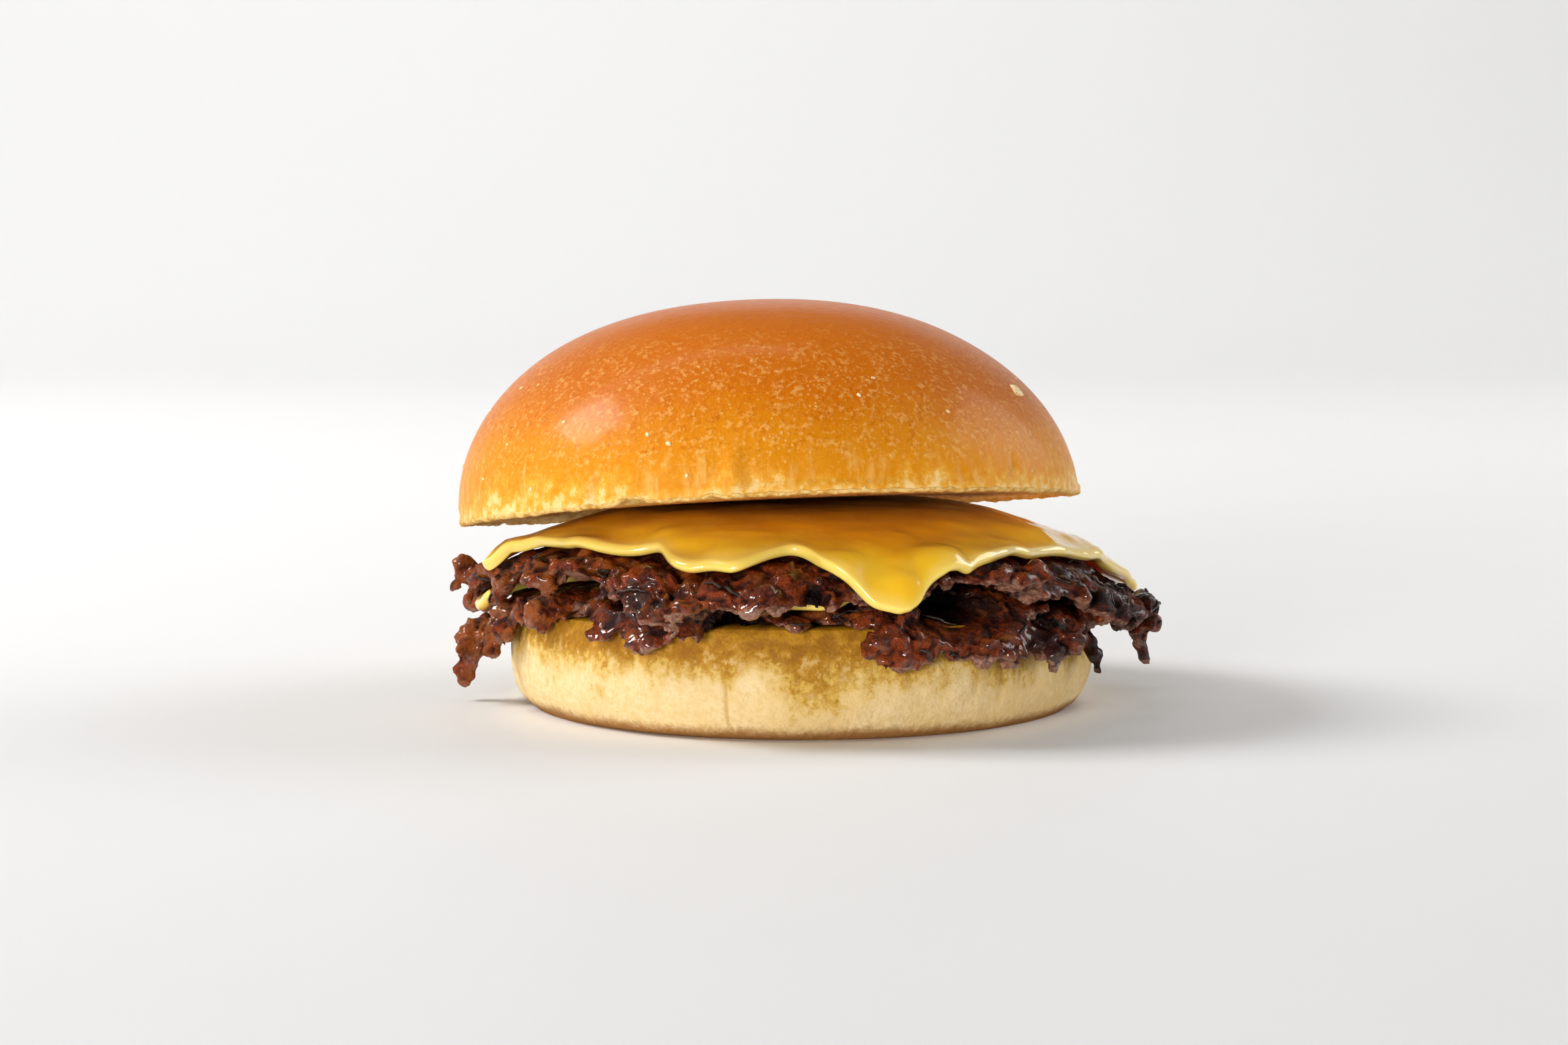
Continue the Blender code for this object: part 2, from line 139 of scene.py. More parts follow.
# %% Finish, the nodes of one material or of the room
class Finish:
    """One material. Constants go straight on to the shader's own sockets."""

    def __init__(self, name, owner=None, shader="Principled BSDF", **constants):
        self.material = owner or bpy.data.materials.new(name)
        self.material.use_nodes = True
        self.nodes = self.material.node_tree.nodes
        self.links = self.material.node_tree.links
        self.shader = self.nodes[shader]
        for socket, value in constants.items():
            self.shader.inputs[socket.replace("_", " ")].default_value = value

    def node(self, kind, settings=None, values=None, out=0):
        made = self.nodes.new(kind)
        for key, value in (settings or {}).items():
            setattr(made, key, value)
        for key, value in (values or {}).items():
            if isinstance(value, Flow):
                self.links.new(value.socket, made.inputs[key])
            else:
                made.inputs[key].default_value = value
        return Flow(self, made.outputs[out])

    def feed(self, **flows):
        for socket, flow in flows.items():
            self.links.new(flow.socket, self.shader.inputs[socket.replace("_", " ")])

    def place(self):
        return self.node("ShaderNodeTexCoord", out="Object")

    def attribute(self, name, out="Fac"):
        return self.node("ShaderNodeAttribute", {"attribute_name": name}, out=out)

    def scaled(self, at, scale):
        return self.node("ShaderNodeMapping", values={"Vector": at, "Scale": scale})

    def part_of(self, at, axis):
        return self.node("ShaderNodeSeparateXYZ", values={0: at}, out=axis)

    def grain(self, at, size, detail=3.0, rough=0.55, distort=0.0):
        """Noise from about 0.25 to 0.75 whose blotches are about `size` metres apart."""
        values = {"Vector": at, "Scale": 1 / size}
        values.update({"Detail": detail, "Roughness": rough, "Distortion": distort})
        return self.node("ShaderNodeTexNoise", values=values)

    def cells(self, at, size):
        return self.node("ShaderNodeTexVoronoi", values={"Vector": at, "Scale": 1 / size})

    def step(self, value, low, high):
        """0 below `low`, 1 above `high` and a soft rise between them."""
        return self.node(
            "ShaderNodeMapRange",
            {"interpolation_type": "SMOOTHSTEP"},
            {"Value": value, "From Min": low, "From Max": high},
        )

    def mixed(self, factor, a, b):
        """A colour between a and b. Sockets 6 and 7 are the node's colours."""
        values = {0: factor}
        for index, colour in ((6, a), (7, b)):
            values[index] = colour if isinstance(colour, Flow) else (*colour, 1)
        return self.node("ShaderNodeMix", {"data_type": "RGBA"}, values, out=2)

    def bump(self, height, distance, strength):
        values = {"Height": height, "Distance": distance, "Strength": strength}
        return self.node("ShaderNodeBump", values=values)


# %% [markdown]
# ## Light
# A food studio has a white wall behind and soft panels at the sides. The key is a panel high
# on the left, which gives the pale sheen on the crown and a soft shadow to the right. A low
# panel in front opens the gaps, a broad one on the right softens the shadow, and one more
# lights the wall alone. The room is bright behind and beside the burger, but dark overhead
# and behind the camera. That keeps the grey veil off wet meat and leaves only small glints.


# %% Panels and room
def softbox(name, spot, target, size, power):
    data = bpy.data.lights.new(name, "AREA")
    data.shape = "RECTANGLE"
    data.size, data.size_y = size
    data.energy = power
    lamp = linked(name, data)
    lamp.location = spot
    lamp.rotation_euler = (Vector(target) - Vector(spot)).to_track_quat("-Z", "Y").to_euler()


BURGER_MIDDLE = (0, 0, 0.03)
softbox("panel_left", (-0.84, 0.10, 0.80), BURGER_MIDDLE, (0.38, 0.38), 9.5)
softbox("panel_right", (1.10, 0.40, 0.55), BURGER_MIDDLE, (0.9, 0.9), 9)
softbox("panel_front", (-0.50, -1.20, 0.19), BURGER_MIDDLE, (0.5, 0.25), 13)
softbox("wall_wash", (-0.60, 0.45, 1.10), (-0.60, 1.5, 0.25), (1.4, 0.5), 8.5)
world = bpy.data.worlds.new("pale_room")
room = Finish("pale_room", world, "Background", Color=(1.0, 0.995, 0.985, 1))
looking = room.node("ShaderNodeTexCoord", out="Generated")
overhead = room.step(room.part_of(looking, "Z"), 0.10, 0.60)
beside = room.step(room.part_of(looking, "Y"), -0.75, 0.25)
room.feed(Strength=(beside * 0.56 + 0.18) * (1 - overhead * 0.78))
bpy.context.scene.world = world
print("three panels, a lit wall and a pale room")

# %% [markdown]
# ## Helpers for shapes
# Azimuth is measured from the front, -Y, and grows towards +X. `wobble` is smooth noise, and
# `finished` ends a bmesh as a piece that stands where its vertices are.


# %% Directions, noise and ending a piece
def azimuth_of(point):
    return math.degrees(math.atan2(point[0], -point[1]))


def direction(azimuth):
    a = math.radians(azimuth)
    return Vector((math.sin(a), -math.cos(a), 0))


def turn_between(a, b):
    return (a - b + 180) % 360 - 180


def smooth_bump(t):
    return math.cos(min(abs(t), 1) * math.pi / 2) ** 2


def smooth_step(t):
    t = min(max(t, 0.0), 1.0)
    return t * t * (3 - 2 * t)


def wobble(point, size, seed=0.0):
    """Smooth noise from -1 to 1 whose bumps are about `size` apart."""
    return noise.noise(Vector(point) / size + Vector((seed, 2 * seed, -seed)))


def drawn(draw, *spans):
    """One random number from each span."""
    return [draw.uniform(*span) for span in spans]


def facing(way, axis="Z", up="Y"):
    """The turn that points a shape's own axis along `way`."""
    return way.to_track_quat(axis, up).to_matrix().to_4x4()


def smooth_piece(name, bm, finish):
    mesh = mesh_from(name, bm)
    mesh.materials.append(finish.material)
    mesh.shade_smooth()
    return linked(name, mesh)


def finished(name, bm, finish, replaces=None):
    piece = smooth_piece(name, bm, finish)
    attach(piece, "root")
    if replaces:
        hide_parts(replaces)
    piece.data.calc_loop_triangles()
    print(name, len(piece.data.loop_triangles), "triangles")
    return piece


def tree_of(*objects):
    """A search tree over whole meshes, for rays and nearest points."""
    points, faces = [], []
    for o in objects:
        start = len(points)
        points += [v.co.copy() for v in o.data.vertices]
        faces += [[start + i for i in p.vertices] for p in o.data.polygons]
    return BVHTree.FromPolygons(points, faces)


# %% [markdown]
# ## Floor
# The table runs up into the wall in one sweep, so no horizon shows behind the burger. It is
# a grid whose rows are moved on to that curve.


# %% Floor that sweeps up into the wall
floor_finish = Finish("pale_table", Roughness=0.62)
at = floor_finish.place()
dapple = floor_finish.grain(at, 0.05, 4)
table = floor_finish.mixed(dapple, (0.84, 0.835, 0.825), (0.86, 0.855, 0.84))
wall = floor_finish.step(floor_finish.part_of(at, "Y"), 0.1, 1.1)
floor_finish.feed(Base_Color=floor_finish.mixed(wall, table, (0.93, 0.925, 0.92)))
SWEEP_START, SWEEP_RADIUS = 0.9, 0.7  # metres behind the burger
SWEEP_HALF_RUN, SWEEP_FRONT = 2.2, -2.4  # half the sweep's length, and where it starts

bm = bmesh.new()
bmesh.ops.create_grid(bm, x_segments=2, y_segments=60, size=1)
for v in bm.verts:
    run = (v.co.y + 1) * SWEEP_HALF_RUN + SWEEP_FRONT
    past = max(0.0, run - SWEEP_START)
    turn = min(past / SWEEP_RADIUS, math.pi / 2)
    climb = max(0.0, past - SWEEP_RADIUS * math.pi / 2)
    v.co.x *= 3
    v.co.y = min(run, SWEEP_START) + SWEEP_RADIUS * math.sin(turn)
    v.co.z = SWEEP_RADIUS * (1 - math.cos(turn)) + climb
floor = smooth_piece("table_sweep", bm, floor_finish)
floor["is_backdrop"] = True
print("floor to", SWEEP_START + SWEEP_RADIUS, "m behind")

# %% [markdown]
# ## Heel of the bun
# The lower half of a soft bun is a pale cushion with a thin skin. Its side is mealy and
# cracked upright, where the dough stretched as it rose. Half a section is turned round the
# axis with many rings, so that cracks and dents can be real hollows in the mesh.

# %% Measures of the bun
HEEL_RADIUS = 47.2 * MM
HEEL_HEIGHT = 17.4 * MM
HEEL_BASE_RADIUS = 44 * MM
HEEL_BACK_DROP = 3.2 * MM
SPIN_STEPS, CUTS = 70, 7  # 560 columns round the bun, about half a millimetre each


def spun(profile):
    """A closed round shape from (radius, height) points, from the top of the axis to its foot."""
    bm = bmesh.new()
    last = len(profile) - 1
    # A grid rolled up round the axis keeps its parts in the same order in every run
    bmesh.ops.create_grid(bm, x_segments=SPIN_STEPS, y_segments=last, size=1)
    for v in bm.verts:
        turn = math.pi * (v.co.x + 1)
        radius, height = profile[round((1 - v.co.y) / 2 * last)]
        v.co = (radius * math.cos(turn), radius * math.sin(turn), height)
    bmesh.ops.remove_doubles(bm, verts=bm.verts, dist=0.004 * MM)
    level = []
    for e in bm.edges:
        start, end = (v.co.xy.length for v in e.verts)
        if abs(start - end) < 0.001 * MM:
            level.append(e)
    bmesh.ops.subdivide_edges(bm, edges=level, cuts=CUTS, use_grid_fill=True)
    step = math.tau / SPIN_STEPS
    for v in bm.verts:
        # The cuts lie on straight chords, so each one is moved out on to its circle
        off = math.atan2(v.co.y, v.co.x) % step - step / 2
        v.co.xy *= math.cos(off) / math.cos(step / 2)
    bmesh.ops.recalc_face_normals(bm, faces=bm.faces)
    return bm


def heel_profile():
    """Cut face, soft top edge, bulging side and flat base."""
    cut = [(HEEL_RADIUS * 0.88 * i / 24, HEEL_HEIGHT) for i in range(25)]
    side = []
    for i in range(56):
        degrees = 75 - 150 * i / 55
        a = math.radians(degrees)
        middle = 0.52 * HEEL_HEIGHT
        half = middle if degrees < 0 else HEEL_HEIGHT - middle
        inset = (HEEL_RADIUS - HEEL_BASE_RADIUS) * (0.42 + 0.58 * smooth_step(0.5 - degrees / 40))
        side.append((HEEL_RADIUS - inset * (1 - math.cos(a)) * 1.45, middle + half * math.sin(a)))
    base = [(HEEL_BASE_RADIUS * share, 0.0) for share in (0.985, 0.96, 0.9, 0.7, 0.35, 0)]
    return cut + side + base


print(len(heel_profile()), "points in the heel's section")


# %% [markdown]
# The skin is torn by upright cracks. Each crack is a line of azimuth that wanders with height,
# and the vertices near it are pushed in.


# %% Heel mesh
Crack = namedtuple("Crack", "azimuth low high depth")  # degrees, shares of height, millimetres
CRACK_HALF_WIDTH = 0.6  # millimetres
CRACKS = [
    Crack(-14, 0.04, 0.62, 0.4),
    Crack(-3, 0.3, 0.66, 0.2),
    Crack(5, 0.35, 0.75, 0.2),
    Crack(-24, 0.45, 0.7, 0.15),
]
draw = random.Random(4)
CRACKS += [Crack(*drawn(draw, (20, 330), (0.1, 0.4), (0.5, 0.75), (0.1, 0.3))) for _ in range(14)]


def crack_depth(azimuth, share):
    depth = 0.0
    for crack in CRACKS:
        wander = 1.1 * wobble((crack.azimuth, share * 6, 0), 1.0, 2)
        off = turn_between(azimuth, crack.azimuth + wander) * HEEL_RADIUS / MM * math.pi / 180
        if abs(off) < CRACK_HALF_WIDTH and crack.low < share < crack.high:
            ends = smooth_step((share - crack.low) / 0.12) * smooth_step((crack.high - share) / 0.12)
            depth = max(depth, crack.depth * smooth_bump(off / CRACK_HALF_WIDTH) * ends)
    return depth * MM


bm = spun(heel_profile())
wrap_layer = bm.verts.layers.float_vector.new("wrap")
crack_layer = bm.verts.layers.float.new("crack")
for v in bm.verts:
    share = v.co.z / HEEL_HEIGHT
    out = v.co.xy.length / HEEL_RADIUS
    azimuth = azimuth_of(v.co)
    around = direction(azimuth) * HEEL_RADIUS
    v[wrap_layer] = (around.x, around.y, v.co.z)
    lean = wobble(v.co, 26 * MM, 3) * 0.8 * MM + wobble(v.co, 9 * MM, 8) * 0.25 * MM
    if share > 0.01 and out > 0.5:
        side = smooth_step(share / 0.08) * smooth_step((out - 0.88) / 0.05)
        crack = crack_depth(azimuth, share)
        v[crack_layer] = crack / (0.4 * MM)
        skin = 0.16 * MM * wobble((around.x, around.y, v.co.z * 0.6), 2.6 * MM, 5)
        skin += 0.07 * MM * wobble(v.co, 0.9 * MM, 6)
        v.co.xy *= 1 + (lean + (skin - crack) * side) / HEEL_RADIUS
    v.co.z -= HEEL_BACK_DROP * (v.co.y / HEEL_RADIUS + 1) / 2 * share
    if share > 0.985 and out < 0.95:
        v.co.z += 0.25 * MM * min(0.0, wobble(v.co, 1.6 * MM, 7) + wobble(v.co, 4 * MM, 9))

# %% [markdown]
# ## Bread finish
# Three things colour the side. The skin is pale cream. Fat soaks down from the cut face as an
# orange stain with a ragged lower edge. The base is browned by the baking tin. The stain is
# worked out from height plus noise, so its edge follows the grain.


# %% Bread finish
bread = Finish(
    "pale_bread",
    Subsurface_Weight=0.08,
    Subsurface_Radius=(1.0, 0.5, 0.2),
    Subsurface_Scale=0.002,
    Specular_IOR_Level=0.12,
)
wrap = bread.attribute("wrap", "Vector")
height = bread.part_of(wrap, "Z") / HEEL_HEIGHT
drips = bread.grain(bread.scaled(wrap, (1, 1, 0.5)), 4.5 * MM, 4, 0.6)
blotch = bread.grain(wrap, 14 * MM, 2)
fine = bread.grain(wrap, 1.0 * MM, 5, 0.7)
meal = bread.grain(wrap, 2.6 * MM, 4, 0.6)
front = bread.step(bread.part_of(wrap, "Y") * -1, 8 * MM, 42 * MM)
soaked = height + (drips - 0.5) * 0.95 + (blotch - 0.5) * 0.55 + (fine - 0.5) * 0.55
soaked = soaked + front * 0.10 + bread.step(height, 0.62, 0.92) * (0.10 + front * 0.25)
cream = bread.mixed(bread.step(fine, 0.36, 0.66), (0.76, 0.545, 0.245), (0.86, 0.655, 0.36))
cream = bread.mixed(bread.step(blotch, 0.42, 0.66) * 0.4, cream, (0.78, 0.53, 0.20))
grains = (meal - 0.5) * 0.9 + (fine - 0.5) * 0.6
damp = bread.step(soaked + grains * 0.4, 0.44, 0.74)
cream = bread.mixed(damp * 0.8, cream, (0.60, 0.35, 0.030))
fat = bread.step(soaked + grains * 0.9, 0.62, 0.92)
rich = bread.step(meal + fine * 0.6, 0.66, 0.96)
amber = bread.mixed(rich, (0.29, 0.105, 0.002), (0.47, 0.215, 0.006))
cream = bread.mixed(fat * 0.92, cream, amber)
dry = bread.step(grains, 0.04, 0.20) * (1 - bread.step(height, 0.70, 0.95))
cream = bread.mixed(dry * 0.42, cream, (0.84, 0.63, 0.31))
split = bread.step(bread.attribute("crack"), 0.15, 0.8)
cream = bread.mixed(split * 0.5, cream, (0.52, 0.28, 0.05))
browned = 1 - bread.step(height + (fine - 0.5) * 0.10 + (blotch - 0.5) * 0.12, 0.04, 0.16)
cream = bread.mixed(browned * 0.9, cream, (0.30, 0.115, 0.02))
bread.feed(
    Base_Color=cream,
    Roughness=0.78 - fat * 0.34,
    Normal=bread.bump(fine + meal * 0.9, 0.32 * MM, 0.9),
)
finished("heel_of_bun", bm, bread, "bun_heel")

# %% [markdown]
# ## Smashed meat
# A smashed patty is minced beef pressed thin on a hot plate, so its rim breaks into lace:
# nuggets, holes and hanging shreds. The solid layer gives the form. Extra nuggets are scattered
# over its skin and a fine voxel remesh melts everything together. Then each vertex is pushed
# along its normal by folded noise, which makes the torn, puffy surface of fried mince.

# %% Melting pieces together
MEAT_CELL = 0.43 * MM
MEAT_BUDGET = 190_000  # triangles
LACE_START = 37 * MM  # nothing is added further in than this
LACE_LIMIT = 54.5 * MM  # or further out than this


def solid_copy(node):
    bm = bmesh.new()
    bm.from_mesh(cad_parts[node].data)
    bmesh.ops.remove_doubles(bm, verts=bm.verts, dist=0.01 * MM)
    return bm


def modified(bm, kind, **settings):
    """A bmesh passed through one of Blender's modifiers."""
    mesh = mesh_from("working", bm)
    holder = linked("working", mesh)
    modifier = holder.modifiers.new("working", kind)
    for key, value in settings.items():
        setattr(modifier, key, value)
    made = bmesh.new()
    made.from_mesh(holder.evaluated_get(bpy.context.evaluated_depsgraph_get()).to_mesh())
    bpy.data.objects.remove(holder)
    bpy.data.meshes.remove(mesh)
    return made


# %% [markdown]
# A dozen kinds of scrap are made once, each a ball dented by noise, and then copied to their
# places. That is far quicker than making a new ball inside a large mesh.


# %% Kinds of nugget
def nugget_kind(seed):
    bm = bmesh.new()
    bmesh.ops.create_icosphere(bm, subdivisions=3, radius=1)
    for v in bm.verts:
        folds = noise.turbulence(v.co * 1.3 + Vector((seed, 0, 0)), 3, True)
        dent = 0.35 * wobble(v.co, 0.9, seed) + 0.5 * (folds - 0.35)
        v.co *= 1 + dent
    return mesh_from("nugget", bm)


NUGGETS = [nugget_kind(seed) for seed in range(12)]


def add_nugget(bm, centre, size, turn, kind):
    """One nugget, of the given half sizes along its own axes."""
    mesh = NUGGETS[kind % len(NUGGETS)]
    place = Matrix.Translation(centre) @ turn @ Matrix.Diagonal((*size, 1))
    mesh.transform(place)
    bm.from_mesh(mesh)
    mesh.transform(place.inverted())


# %% [markdown]
# The scraps need random places on the skin where it shows. They lie flat like bark, with a
# little tilt. One that would fill a hollow, fatten a thin shred, or reach into the bread or
# cheese next to it is left out.


# %% Scattering nuggets
SCRAP_HALF_SIZES = (1.1, 1.4, 1.8, 2.4)  # mm
def scattered(bm, count, least_radius, seed):
    """Random (point, normal) pairs on the outer skin, spread evenly by area."""
    draw = random.Random(seed)
    faces = [f for f in bm.faces if f.calc_center_median().xy.length > least_radius]
    areas = [f.calc_area() for f in faces]
    found = []
    for face in draw.choices(faces, areas, k=count):
        a, b = draw.random(), draw.random()
        if a + b > 1:
            a, b = 1 - a, 1 - b
        one, two, three = (v.co for v in face.verts[:3])
        found.append((one + (two - one) * a + (three - one) * b, face.normal.copy()))
    return found


def lying(normal, draw):
    """Turns a scrap's thin side along the normal and its length near level, then tilts it."""
    turned = facing(normal) @ Matrix.Rotation(draw.uniform(-0.7, 0.7), 4, "Z")
    return turned @ Matrix.Rotation(draw.uniform(-0.5, 0.5), 4, "X")


def add_nuggets(bm, neighbours, count, seed):
    own = BVHTree.FromBMesh(bm)
    draw = random.Random(seed)
    placed = 0
    for index, (point, normal) in enumerate(scattered(bm, count, LACE_START, seed)):
        girth = draw.choice(SCRAP_HALF_SIZES) * draw.uniform(0.85, 1.15) * MM
        thick = own.ray_cast(point - normal * 0.05 * MM, -normal)[3] or 0
        clear = own.ray_cast(point + normal * 0.05 * MM, normal)[3] or 1
        near = neighbours.find_nearest(point)[3]
        if thick < 2.4 * girth or clear < 5 * MM or near < 0.9 * girth + 1 * MM:
            continue
        if point.xy.length > LACE_LIMIT:
            continue
        size = (girth * draw.uniform(1.2, 2.2), girth, girth * draw.uniform(0.4, 0.6))
        sunk = point - normal * girth * draw.uniform(0.0, 0.35)
        add_nugget(bm, sunk, size, lying(normal, draw), index)
        placed += 1
    return placed


# %% [markdown]
# Shreds are short strings of ever thinner beads that hang from the lace and curl a little.


# %% Hanging shreds
def add_shreds(bm, rim, neighbours, count, seed):
    draw = random.Random(seed + 50)
    for index in range(count):
        spot, heading = draw.choice(rim)
        if abs(azimuth_of(spot)) < 75:
            continue
        heading = (heading + Vector((0, 0, -draw.uniform(0.3, 2.0)))).normalized()
        curl = Vector(drawn(draw, (-1, 1), (-1, 1), (-0.6, 0.4))) * 0.35
        girth = draw.uniform(0.55, 0.95) * MM
        for bead in range(draw.randint(3, 6)):
            near = neighbours.find_nearest(spot)[3]
            if near < girth * 1.2 or spot.z < 1.5 * MM or spot.xy.length > LACE_LIMIT:
                break
            size = (girth * 1.9, girth, girth * 0.7)
            add_nugget(bm, spot, size, facing(heading, "X", "Z"), index + bead)
            spot = spot + heading * girth * 1.5
            heading = (heading + curl).normalized()
            girth *= 0.84


# %% [markdown]
# Folded noise is noise whose negative half is flipped up. It has round crests and sharp
# creases, like swollen mince. Turned over, it has sharp crests, like torn edges. The relief adds
# both, and keeps each vertex's height as `lump`, so that low creases can be painted dark as
# shade and high crests can be wet. Thin shreds and the walls of hollows get less of it, so that
# the gaps of the lace stay open.


# %% Torn relief
def mince_relief(point, seed):
    """How far the skin stands out here, in millimetres."""
    p = point / MM + Vector((seed * 7.3, 0, 0))
    # noise_vector would start from the clock, so each axis reads fixed noise at its own place
    p += Vector([wobble(p, 3.8, 17.0 * axis) for axis in (1, 2, 3)]) * 1.3
    swollen = noise.turbulence(p / 5.6, 2, True) - 0.33
    torn = 0.62 - noise.turbulence(p / 2.1 + Vector((0, 9, 0)), 2, True) * 1.6
    crisp = 0.35 - abs(noise.noise(p / 0.95))
    pit = 1 - smooth_step((noise.voronoi(p / 2.1)[0][0] - 0.08) / 0.22)
    return 2.4 * swollen + 0.7 * torn + 0.22 * crisp - 0.4 * pit


# %% [markdown]
# Between its lumps, smashed meat is open, and the openings are painted black as shade. Each
# hollow moves a small patch of the rim in towards the axis, and stops short of whatever lies
# behind it. The same patch is marked to be painted nearly black as shade.

# %% Hollows in the rim
LAYER_GAP = 0.4 * MM
Hollow = namedtuple("Hollow", "azimuth height half_turn half_height depth")  # degrees and millimetres
HOLLOWS = [
    Hollow(-45, 22.2, 13, 3.0, 8.0),
    Hollow(-13, 17.9, 11, 3.2, 7.5),
    Hollow(31.5, 19.4, 18, 4.2, 9.0),
    Hollow(2, 22.0, 3.0, 3.2, 4.0),
    Hollow(-25, 21.0, 3, 1.6, 3.0),
    Hollow(52, 16.5, 6, 2.0, 4.0),
]
draw = random.Random(31)
HOLLOWS += [Hollow(*drawn(draw, (62, 298), (18, 25), (4, 9), (1.6, 2.6), (2.5, 5))) for _ in range(16)]


def hollowed(bm, neighbours):
    shade_painted_hollow_layer = bm.verts.layers.float.new("shade_painted_hollow")
    for v in bm.verts:
        radius = v.co.xy.length
        if radius < LACE_START:
            continue
        azimuth, deep = azimuth_of(v.co), 0.0
        for shade_painted_hollow in HOLLOWS:
            across = turn_between(azimuth, shade_painted_hollow.azimuth) / shade_painted_hollow.half_turn
            up = (v.co.z / MM - shade_painted_hollow.height) / shade_painted_hollow.half_height
            if abs(across) < 1 and abs(up) < 1:
                share = smooth_bump(across) * smooth_bump(up)
                # Painted shade: the hollow's patch is marked, and the meat there is painted nearly
                # black.
                v[shade_painted_hollow_layer] = max(v[shade_painted_hollow_layer], share)
                deep = max(deep, shade_painted_hollow.depth * MM * share)
        if deep:
            deep *= smooth_step((radius - LACE_START) / (9 * MM))
            hit = neighbours.ray_cast(v.co, -direction(azimuth), deep + LAYER_GAP)[3]
            if hit is not None:
                deep = max(0.0, min(deep, hit - LAYER_GAP))
            v.co.xy *= 1 - deep / radius


# %% Relief over a whole patty
RELIEF_START, RELIEF_EASE = 34 * MM, 6 * MM  # it grows from here outwards, over this far
FULL_THICKNESS, FULL_CLEARANCE = 3.2 * MM, 4 * MM  # thinner or closer skin gets less relief
# Skin nearer than this to other meat is marked for painted shade; a wider gap looks open.
DARK_GAP = 6 * MM  # a wider gap looks open
SKIN_OFFSET = 0.1  # mm, so that a ray doesn't start on the skin itself
RAW_SPOTS = (  # degrees, height in mm, and the half sizes of each, where the meat stayed pale
    (-22, 15.8, 5, 1.8),
    (-4, 17.4, 7, 1.8),
    (-50, 18.5, 6, 2.0),
    (-43, 23.6, 4, 0.9),
    (49, 17.0, 4, 2.4),
    (10, 22.5, 3, 1.5),
)


def grained(bm, neighbours, seed):
    lump_layer = bm.verts.layers.float.new("lump")
    under_layer = bm.verts.layers.float.new("under")
    shade_painted_hollow_layer = bm.verts.layers.float["shade_painted_hollow"]
    axes = {"use_axis_x": True, "use_axis_y": True, "use_axis_z": True}
    bmesh.ops.smooth_vert(bm, verts=bm.verts, factor=0.5, **axes)
    bm.normal_update()
    own = BVHTree.FromBMesh(bm)
    trees = (own, neighbours)
    moves = []
    for v in bm.verts:
        shows = smooth_step((v.co.xy.length - RELIEF_START) / RELIEF_EASE)
        if not shows:
            v[lump_layer] = 0.5
            moves.append(Vector())
            continue
        relief = mince_relief(v.co, seed)
        inside = v.co - v.normal * SKIN_OFFSET * MM
        outside = v.co + v.normal * SKIN_OFFSET * MM
        thick = own.ray_cast(inside, -v.normal, 4 * MM)[3] or 4 * MM
        clear = min(tree.ray_cast(outside, v.normal, DARK_GAP)[3] or DARK_GAP for tree in trees)
        push = relief * MM * shows * min(1.0, thick / FULL_THICKNESS)
        if push > 0:
            push = min(push * min(1.0, clear / FULL_CLEARANCE), max(0.0, clear - 0.25 * MM))
        # The height is kept for painted shade in the creases and for the wet coat on the crests.
        v[lump_layer] = min(max(0.5 + relief * 0.5, 0.0), 1.0)
        azimuth = azimuth_of(v.co)
        raw = max(
            smooth_bump(turn_between(azimuth, at) / wide) * smooth_bump((v.co.z / MM - height) / tall)
            for at, height, wide, tall in RAW_SPOTS
        )
        v[under_layer] = max(smooth_step((-v.normal.z - 0.05) / 0.6), 1.3 * raw)
        # Painted shade: skin facing other meat across a narrow gap is marked to be painted dark.
        v[shade_painted_hollow_layer] = max(v[shade_painted_hollow_layer], 0.5 - 0.5 * smooth_step(clear / DARK_GAP))
        moves.append(v.normal * push)
    for v, move in zip(bm.verts, moves):
        v.co += move
    bm.normal_update()


def largest_shell(bm):
    """Drops loose scraps and the walls of sealed hollows."""
    unseen, shells = set(bm.faces), []
    while unseen:
        start = unseen.pop()
        shell, front = [start], [start]
        while front:
            for edge in front.pop().edges:
                for other in edge.link_faces:
                    if other in unseen:
                        unseen.discard(other)
                        front.append(other)
                        shell.append(other)
        shells.append(shell)
    keep = max(shells, key=len)
    scraps = [f for shell in shells if shell is not keep for f in shell]
    bmesh.ops.delete(bm, geom=scraps, context="FACES")


# %% [markdown]
# ## Meat finish
# Seared mince is red-brown and wet with fat, black where the plate scorched it, and grey-pink
# underneath, where the plate never touched it. Creases, hollows and narrow gaps are painted
# nearly black as shade. The left side is painted lighter and tan as painted light, and the right
# side darker as painted shade. A clear coat stands for the fat, and fine bumps break its shine
# into glints.

# %% Meat finish
meat = Finish(
    "seared_mince",
    Subsurface_Weight=0.08,
    Subsurface_Radius=(1.0, 0.22, 0.08),
    Subsurface_Scale=0.0014,
    Coat_Roughness=0.04,
    Specular_IOR_Level=0.15,
)
at = meat.place()
lump = meat.attribute("lump")
under = meat.attribute("under")
# These two marks say where shade is painted: low creases, hollows and narrow gaps.
shade_painted_hollow = meat.attribute("shade_painted_hollow")
patch = meat.grain(at, 8 * MM, 3, 0.6)
speck = meat.grain(at, 0.6 * MM, 4, 0.65)
fibre = meat.grain(at, 2.0 * MM, 5, 0.65, 0.8)
tan = meat.grain(at, 4.5 * MM, 3, 0.6)
# Painted light and shade: the left side, towards the key panel, is painted lighter and tan, and the
# right side, away from it, is painted darker.
shaded_right_side = meat.step(meat.part_of(at, "X"), 18 * MM, 54 * MM)
lit_left_side = meat.step(meat.part_of(at, "X") * -1, 22 * MM, 52 * MM)
strands = meat.step(fibre, 0.38, 0.64)
seared = meat.mixed(strands, (0.040, 0.005, 0.002), (0.26, 0.040, 0.004))
